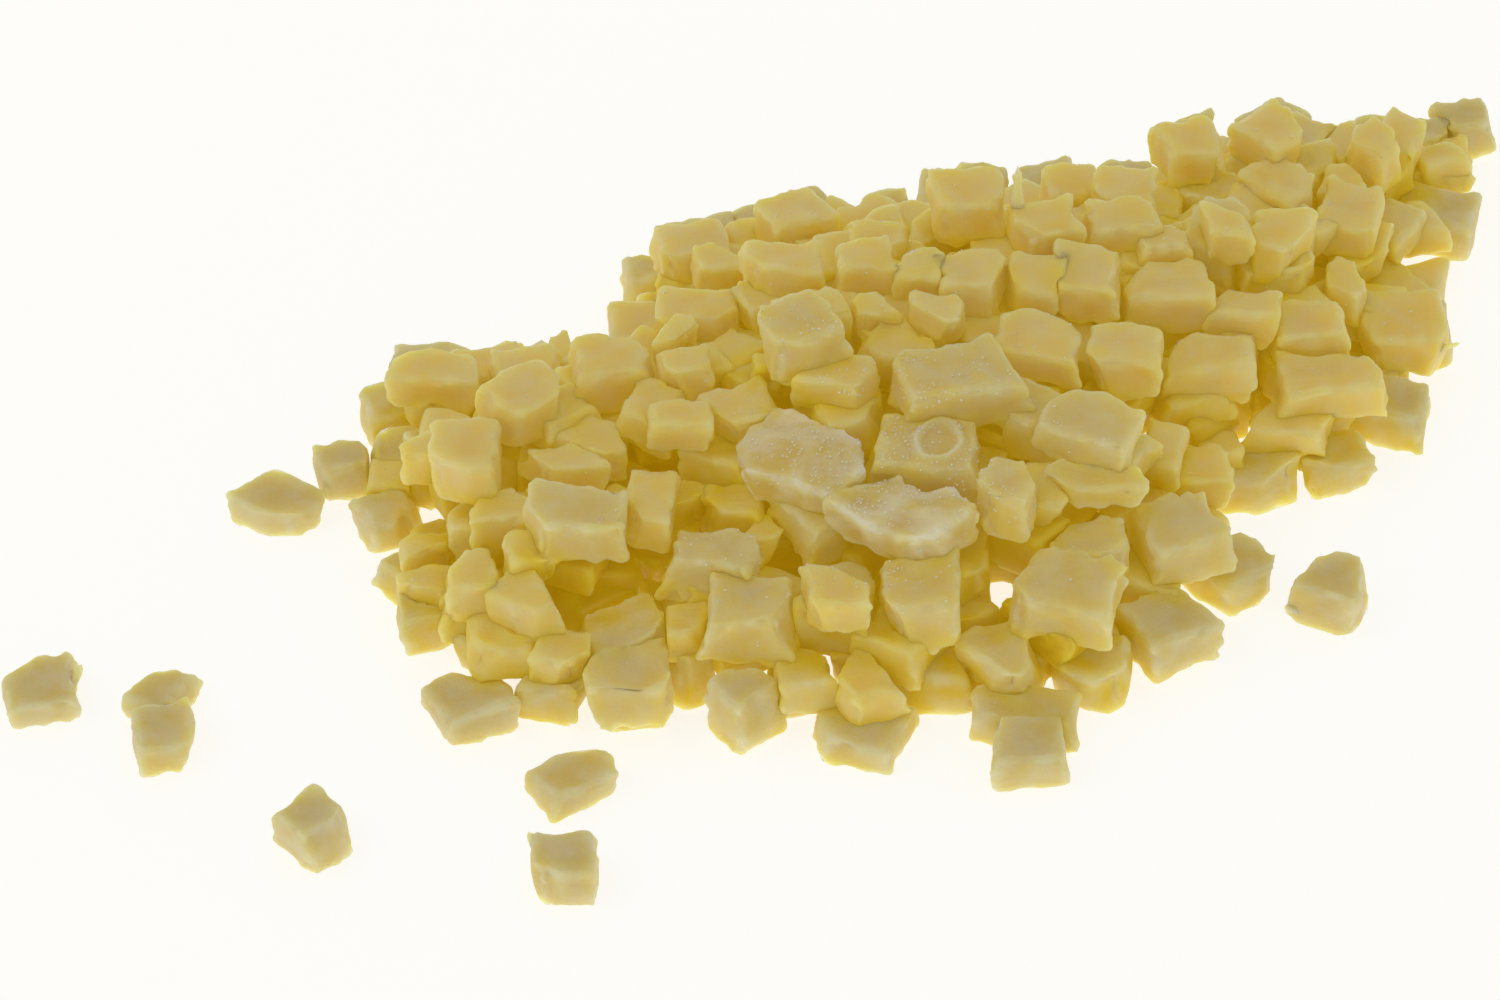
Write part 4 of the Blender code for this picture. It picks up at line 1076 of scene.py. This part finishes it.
def candied_flesh(name, clear, deep, film_and_edge_light_colour, film_share, roughness):
    """Candied pineapple: clear yellow, painted deeper yellow and amber as shade in the hollows and where dice
    touch, a painted glow, and a pale sugar film on the edges that is also painted light through the thin
    flesh.
    """
    material, tree, shader = new_material(name)
    tone, edge, depth, touch, own = read_places(tree)
    # Painted shade: the colour goes to the deeper tone in the hollows and where dice touch, and to amber
    # further down; the glow rises there too
    near_others = {0: touch, 1: TOUCH_DEPTH, 2: depth}
    shade_and_glow = add(tree, "Math", near_others, operation="MULTIPLY_ADD", use_clamp=True).outputs[0]
    hollow_shade_and_glow = add(tree, "MapRange", {"Value": depth, "From Min": AMBER_FROM}).outputs[0]
    film_and_edge_light_share = film_and_edge_light(tree, edge, own, film_share)
    colour = layered(tree, clear[0], [(tone, clear[1]), (shade_and_glow, deep), (hollow_shade_and_glow, AMBER), (film_and_edge_light_share, film_and_edge_light_colour)])
    light = layered(tree, INNER_LIGHT, [(shade_and_glow, NEIGHBOUR_LIGHT), (hollow_shade_and_glow, HOLLOW_LIGHT)])
    painted_glow = add(tree, "Math", {0: shade_and_glow, 1: HOLLOW_GLOW, 2: INNER_GLOW}, operation="MULTIPLY_ADD")
    depths = {"To Min": FREE_SCATTER * MM, "To Max": TOUCHING_SCATTER * MM}
    reach = add(tree, "MapRange", {"Value": touch, **depths})
    slope, waxy = flesh_surface(tree, own, film_share, roughness)
    flesh = {
        "Base Color": colour,
        "Roughness": waxy,
        "Normal": slope,
        "IOR": 1.46,
        "Subsurface Weight": 1.0,
        "Subsurface Radius": SCATTER_SHARES,
        "Subsurface Scale": reach.outputs[0],
        "Emission Color": light,
        "Emission Strength": painted_glow.outputs[0],
    }
    plug(tree, shader, flesh)
    material.cycles.emission_sampling = "NONE"
    return material


# %% Five kinds of it: name, two tones, the tone of painted shade, the film and edge light, how much film, roughness
clear_flesh = candied_flesh(
    "clear_candied_flesh", ("#edcd60", "#eacd72"), "#e6cb46", "#e2d6aa", 0.5, 0.42
)
pale_flesh = candied_flesh(
    "pale_candied_flesh", ("#d7c06e", "#d3be79"), "#dac254", "#d8ceae", 0.8, 0.48
)
frosted_flesh = candied_flesh(
    "frosted_candied_flesh", ("#e3c766", "#dfc776"), "#e0c64e", "#ded2a8", 0.7, 0.52
)
crusted_flesh = candied_flesh(
    "sugar_crusted_flesh", ("#dfc262", "#ddc474"), "#ddc052", "#ebe2c4", 1.0, 0.55
)
# Painted shade: dice deep inside the heap, seen only through gaps, are coloured amber for the little light
# that reaches them through other dice
amber_flesh = candied_flesh(
    "amber_shaded_flesh", ("#e2c034", "#e0be2c"), "#deba20", "#dac264", 0.3, 0.4
)

# %% [markdown]
# ## The heap
#
# The dice that show are sorted into kinds by how they came out of the syrup, and each kind is one mesh.
# Those of the edge lie singly on the surface. Those that nobody sees are coarser, and their flesh is
# painted amber as shade deep in the heap. One object for each die would be easier to pick apart, but 435
# objects are slow to handle, and one mesh of a kind shares its material and its fineness.


def kind(**changes):
    """The wear of a kind of die, as it differs from a plain one."""
    wear = {**PLAIN, **changes}
    return wear


KINDS = {
    "dice_of_the_edge": (kind(bend=3.2), pale_flesh),
    "large_dice_on_top": (kind(steps=22, sink=0.1, lumps=0.32, ragged=0.75, missing=4), frosted_flesh),
    "torn_flakes": (kind(steps=40, swell=0.9, lumps=0.55, ragged=0.65, bite=(1.0, 2.6)), crusted_flesh),
    "ringed_die": (kind(steps=52, swell=0.4, missing=1), frosted_flesh),
    "dice_seen": (kind(steps=15), clear_flesh),
    "clear_dice": (kind(), clear_flesh),
    "frosted_dice": (kind(ragged=0.65), frosted_flesh),
    "chipped_dice": (kind(ragged=0.7, missing=4, bite=(1.0, 3.0)), clear_flesh),
    "small_dice": (kind(steps=10, ragged=0.25), clear_flesh),
    "dice_inside": (kind(steps=8, missing=0), amber_flesh),
}
LARGE = 18  # the last rows of the table of dice on top are the large ones
TORN = (first_upper - 3, first_upper - 2)
RINGED = first_upper - 1


def kind_of(number):
    """The kind that a die of the heap belongs to."""
    if number < len(RIM):
        return "dice_of_the_edge"
    if number in TORN:
        return "torn_flakes"
    if number == RINGED:
        return "ringed_die"
    if first_seen <= number < first_upper:
        return "large_dice_on_top" if number >= first_upper - LARGE else "dice_seen"
    if not heap.shows(number):
        return "dice_inside"
    if number >= first_small:
        return "small_dice"
    return ("clear_dice", "frosted_dice", "chipped_dice")[number % 3]


# %% [markdown]
# ## A ring of dried sugar
#
# A drop of syrup that dries on a face leaves its sugar along its rim, as coffee leaves a stain. The ring
# could be a torus laid on the die, but then a sharp line would show where the two meet. Here the die's own
# points rise under it, so it swells out of the face, and the same points get a thick film of sugar.

# %% The ring on one die
RING_REACH = (2.8, 3.5)  # mm from its middle to its crest, along and across the die
RING_WIDTH = 0.5  # mm
RING_RISE = 0.8  # mm
RING_OFF = 1.4  # mm that it lies to the right of the middle of its die
RING_WAVER = 0.12  # how far it is from an oval, as a share of its reach
RING_WAVER_LENGTH = 2.5  # mm between its wavers
RING_SKIN = 1.0  # mm below the upper face, where it no longer rises
RING_FILM = 1.8  # how much more film it has than an edge


def with_ring(points, corners):
    """The points of a die with a ring raised on its upper face, and how near each is to the ring's crest."""
    right, back = corners[5] - corners[4], corners[6] - corners[4]
    right, back = right / np.linalg.norm(right), back / np.linalg.norm(back)
    out = np.cross(right, back)
    spot = points - corners[4:].mean(axis=0) - RING_OFF * right
    across, along = spot @ right / RING_REACH[0], spot @ back / RING_REACH[1]
    off_crest = np.hypot(across, along) - 1 + RING_WAVER * bumps(points, RING_WAVER_LENGTH)[:, 0]
    crest = np.exp(-((off_crest * RING_REACH[0] / RING_WIDTH) ** 2)) * (spot @ out > -RING_SKIN)
    return points + RING_RISE * crest[:, None] * out, crest


# %% Make a piece of several dice
CONTACT_REACH = 1.1  # mm from a neighbour, within which the flesh is painted deeper in colour, as shade


def finish_piece(name, mesh, look, own, material):
    """An object from a mesh and what its material reads. It rides on the part's one body."""
    for field, kind_of_field, part, values in (
        ("look", "FLOAT_COLOR", "color", look),
        ("own", "FLOAT_VECTOR", "vector", own),
    ):
        kept = mesh.attributes.new(field, kind_of_field, "POINT")
        kept.data.foreach_set(part, values.astype(np.float32).ravel())
    mesh.materials.append(material)
    piece = bpy.data.objects.new(name, mesh)
    bpy.context.scene.collection.objects.link(piece)
    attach(piece, "root")
    print(f"{name}: {2 * len(mesh.polygons)} triangles")
    return piece


def make_piece(name, corners, wear, material, numbers=()):
    """One object from the corners of its dice."""
    placed, squares, edge, own = worn_dice(corners, wear)
    touch = np.zeros(edge.shape)
    for row, number in enumerate(numbers):
        placed[row], distance = pressed(placed[row], number)
        touch[row] = np.exp(-((np.maximum(distance, 0) / CONTACT_REACH) ** 2))
        if number == RINGED:
            placed[row], crest = with_ring(placed[row], corners[row])
            edge = np.maximum(edge, RING_FILM * crest)
    placed[..., 2] = np.maximum(placed[..., 2], 0)
    tone = np.broadcast_to(chance.uniform(0, 1, (len(corners), 1)), edge.shape)
    # Near a neighbour the film is taken away and the nearness is kept, so that shade is painted where dice
    # touch
    look = np.stack((tone, edge * (1 - touch), depth_below(placed), touch), axis=2)
    return finish_piece(name, joined_mesh(name, placed, squares), look, own, material)


for name, (wear, material) in KINDS.items():
    numbers = [number for number in range(len(heap.dice)) if kind_of(number) == name]
    piece = make_piece(name, all_corners[numbers], wear, material, numbers)
    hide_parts("heap")
    print(f"  from {len(numbers)} dice")

# %% [markdown]
# ## The loose dice
#
# The dice that rolled clear lie flat, each a part of its own. They are worn as the others are, with finer
# grids, because they stand alone and every edge shows. The torn flake is two scraps of one slice.

# %% Lay and wear them
rng = random.Random(LOOSE_SEED)


def loose_corners(x, y, turn, length, width, thickness, skew):
    """The corners of a die that lies flat on the surface."""
    block = die_corners(rng, length, width, thickness, skew, flat_base=True)
    corners = turned(block, math.radians(turn), 0, 0)
    return corners + (x, y, -corners[:, 2].min())


LONE = kind(steps=24, bend=3.4, swell=0.35, lumps=0.25, ragged=0.5, bite=(0.8, 2.2))
for name, rows in LOOSE.items():
    corners = np.array([loose_corners(*row) for row in rows])
    piece = make_piece(name + "_dressed", corners, LONE, pale_flesh)
    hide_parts(name)

# %% [markdown]
# ## What stands off the dice
#
# A blunt knife tears some fibres instead of cutting them. They dry as shreds that stand off their die: a
# whisker at the right end, a sliver at the back, short nibs on the loose dice. A bevelled curve could draw
# one, but a mesh of rings lets it be flat, uneven and pointed at once. Each shred starts well inside its
# die, so it can't come loose.

# %% What is seen at a pixel
HIGHEST = CREST_HEIGHT + 4 * OVERFILL  # mm, above every die
FINE_LOOK_STEP = 0.1  # mm


def surface_seen(across, down):
    """The place on the heap, in mm, that is seen at these pixels."""
    for height in np.arange(HIGHEST, 0, -FINE_LOOK_STEP):
        x, y = place_seen(across, down, height)
        if heap.ground.top[heap.cell(x, y)] >= height:
            return np.array((x, y, height))
    return np.array((*place_seen(across, down, 0), 0.0))


# %% One shred
SHRED_STEPS = 10  # rings along a shred, and points round each
ROOT_DEPTH = 1.0  # mm that a shred starts below the face it stands on
SHRED_TAPER = 0.3  # how much narrower its end is, before it closes
SHRED_CLOSING = 4  # a power; more closes it nearer its tip
SHRED_FLATNESS = 0.6  # its thickness as a share of its width
SHRED_WAVER = 0.2  # mm that it strays from straight
SHRED_WAVER_LENGTH = 1.3


def shred(root, tip, width):
    """A flattened strand from its root to its tip: its points, and the squares between them."""
    along = tip - root
    side = np.cross(along, (0, 0, 1))
    side /= np.linalg.norm(side)
    up = np.cross(side, along) / np.linalg.norm(along)
    part = np.linspace(0, 1, SHRED_STEPS)[:, None, None]
    angle = np.linspace(0, 2 * math.pi, SHRED_STEPS, endpoint=False)[None, :, None]
    half = width / 2 * np.sqrt(np.clip(1 - part**SHRED_CLOSING, 0, 1)) * (1 - SHRED_TAPER * part)
    half[0] = 0
    points = root + part * along + half * (np.cos(angle) * side + SHRED_FLATNESS * np.sin(angle) * up)
    points = (points + SHRED_WAVER * bumps(points, SHRED_WAVER_LENGTH)).reshape(1, -1, 3)
    here = np.arange(SHRED_STEPS)
    ring = np.stack((here, here + SHRED_STEPS, np.roll(here, -1) + SHRED_STEPS, np.roll(here, -1)), axis=1)
    return points, np.concatenate([ring + SHRED_STEPS * step for step in range(SHRED_STEPS - 1)])


def bare_look(points):
    """What a small bare piece tells its material: an even tone, all of it edge."""
    return np.broadcast_to((0.5, 1.0, 0.0, 0.0), (*points.shape[:2], 4))


# %% Shreds: name, root and tip in pixels, height of the root or None if it is on the heap, rise, width
SHREDS = [
    ("whisker", (1425, 348), (1461, 342), None, 0.5, 1.2),
    ("sliver", (1018, 212), (1018, 166), None, 5.2, 1.7),
    ("nub", (840, 561), (855, 571), None, 1.0, 2.2),
    ("spike", (1122, 482), (1138, 490), None, -0.6, 1.3),
    ("nib_far_left", (62, 690), (82, 665), 3.0, 0.4, 2.2),
    ("nib_nearest", (548, 858), (528, 832), 4.6, 0.4, 2.4),
    ("nib_right", (1308, 601), (1284, 608), 3.0, -0.6, 2.2),
]
for name, root, tip, height, rise, width in SHREDS:
    start = surface_seen(*root) if height is None else np.array((*place_seen(*root, height), height))
    end_height = start[2] + rise
    end = np.array((*place_seen(*tip, end_height), end_height))
    points, squares = shred(start - (0, 0, ROOT_DEPTH), end, width)
    flesh = frosted_flesh if height is None else pale_flesh
    mesh = joined_mesh(name, points, squares)
    finish_piece(name, mesh, bare_look(points), points, flesh)

# %% [markdown]
# ## Sugar crystals
#
# Where the syrup ran off last, on the dice in the middle, sugar dried as grains that catch the light.
# Each grain is a real cube, a few tenths of a millimetre wide, that sits on a face of a die which is
# already there, so none can hang in the air. A hair system could scatter them, but it would be gone from
# the exported model, and numpy makes one mesh of them all.

# %% The crystals' own material
MIST_WIDTH = 1.25  # mm across a patch of one whiteness


def sugar_crystals():
    """Sucrose crystals: clear, so nearly white in a heap of them, sharp and shiny."""
    material, tree, shader = new_material("sugar_crystals")
    own = add(tree, "Attribute", {}, attribute_name="own")
    mist = add(tree, "TexNoise", {"Vector": own.outputs["Vector"], "Scale": 1 / MIST_WIDTH, "Detail": 1})
    white = layered(tree, "#f4eac0", [(mist.outputs["Fac"], "#fcf8ea")])
    plug(tree, shader, {"Base Color": white, "Roughness": 0.25, "IOR": 1.54})
    return material


# %% Where they may sit
HIGH_UP = 0.3  # the greatest depth, of 1
CLEAR = 0.4  # the greatest nearness to a neighbour, of 1
UPWARDS = 0.1  # the least rise of the face's normal


def rows_of(items, field, width, number=np.float32):
    """A field of all the items of a mesh, as rows of this many numbers."""
    values = np.empty(len(items) * width, number)
    items.foreach_get(field, values)
    return values.reshape(-1, width)


def open_faces(piece):
    """The middles, normals and areas of a piece's faces that lie on top of the heap, clear of others."""
    mesh = piece.data
    middles, normals = (rows_of(mesh.polygons, field, 3) for field in ("center", "normal"))
    areas = rows_of(mesh.polygons, "area", 1)[:, 0]
    first = rows_of(mesh.loops, "vertex_index", 1, np.int32)[::4, 0]  # of the four points of each face
    look = rows_of(mesh.attributes["look"].data, "color", 4)[first]
    free = (look[:, 2] < HIGH_UP) & (look[:, 3] < CLEAR) & (normals[:, 2] > UPWARDS)
    return middles[free] / MM + (*MIDDLE, 0), normals[free], areas[free]


# %% The crystals
GRAINS = 800
GRAIN_SIZES = (0.1, 0.24)  # mm
SUNK_GRAIN = 0.25  # how far its middle is above its face, as a share of its size
SUGARY = (870, 470)  # the pixels of the middle of the sugared dice
SUGARY_REACH = 15.0  # mm
ELSEWHERE = 0.02  # the share of grains on dice far away from there
CUBE_SQUARES = np.array([(0, 2, 3, 1), (4, 5, 7, 6), (0, 1, 5, 4), (2, 6, 7, 3), (0, 4, 6, 2), (1, 3, 7, 5)])

sugared = [bpy.data.objects[name] for name in ("torn_flakes", "ringed_die", "large_dice_on_top", "dice_seen")]
middles, normals, areas = (np.concatenate(part) for part in zip(*map(open_faces, sugared)))
away = np.linalg.norm(middles - surface_seen(*SUGARY), axis=1)
weights = areas * (np.exp(-((away / SUGARY_REACH) ** 2)) + ELSEWHERE)
picked = chance.choice(len(middles), GRAINS, p=weights / weights.sum())
sizes = chance.uniform(*GRAIN_SIZES, len(picked))
spin, _ = np.linalg.qr(chance.normal(size=(len(picked), 3, 3)))
cubes = np.einsum("cij,dj->cdi", spin * sizes[:, None, None] / 2, CORNER_SIGNS)
points = middles[picked][:, None] + normals[picked][:, None] * SUNK_GRAIN * sizes[:, None, None] + cubes
mesh = joined_mesh("crystals", points, CUBE_SQUARES)
mesh.shade_flat()
finish_piece("crystals", mesh, bare_look(points), points, sugar_crystals())

# %% Keep the sizes, and finish
sizes = {"cad": [list(corner) for corner in cad_box], "scene": [list(corner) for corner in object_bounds()]}
print("cad and scene boxes:", sizes)
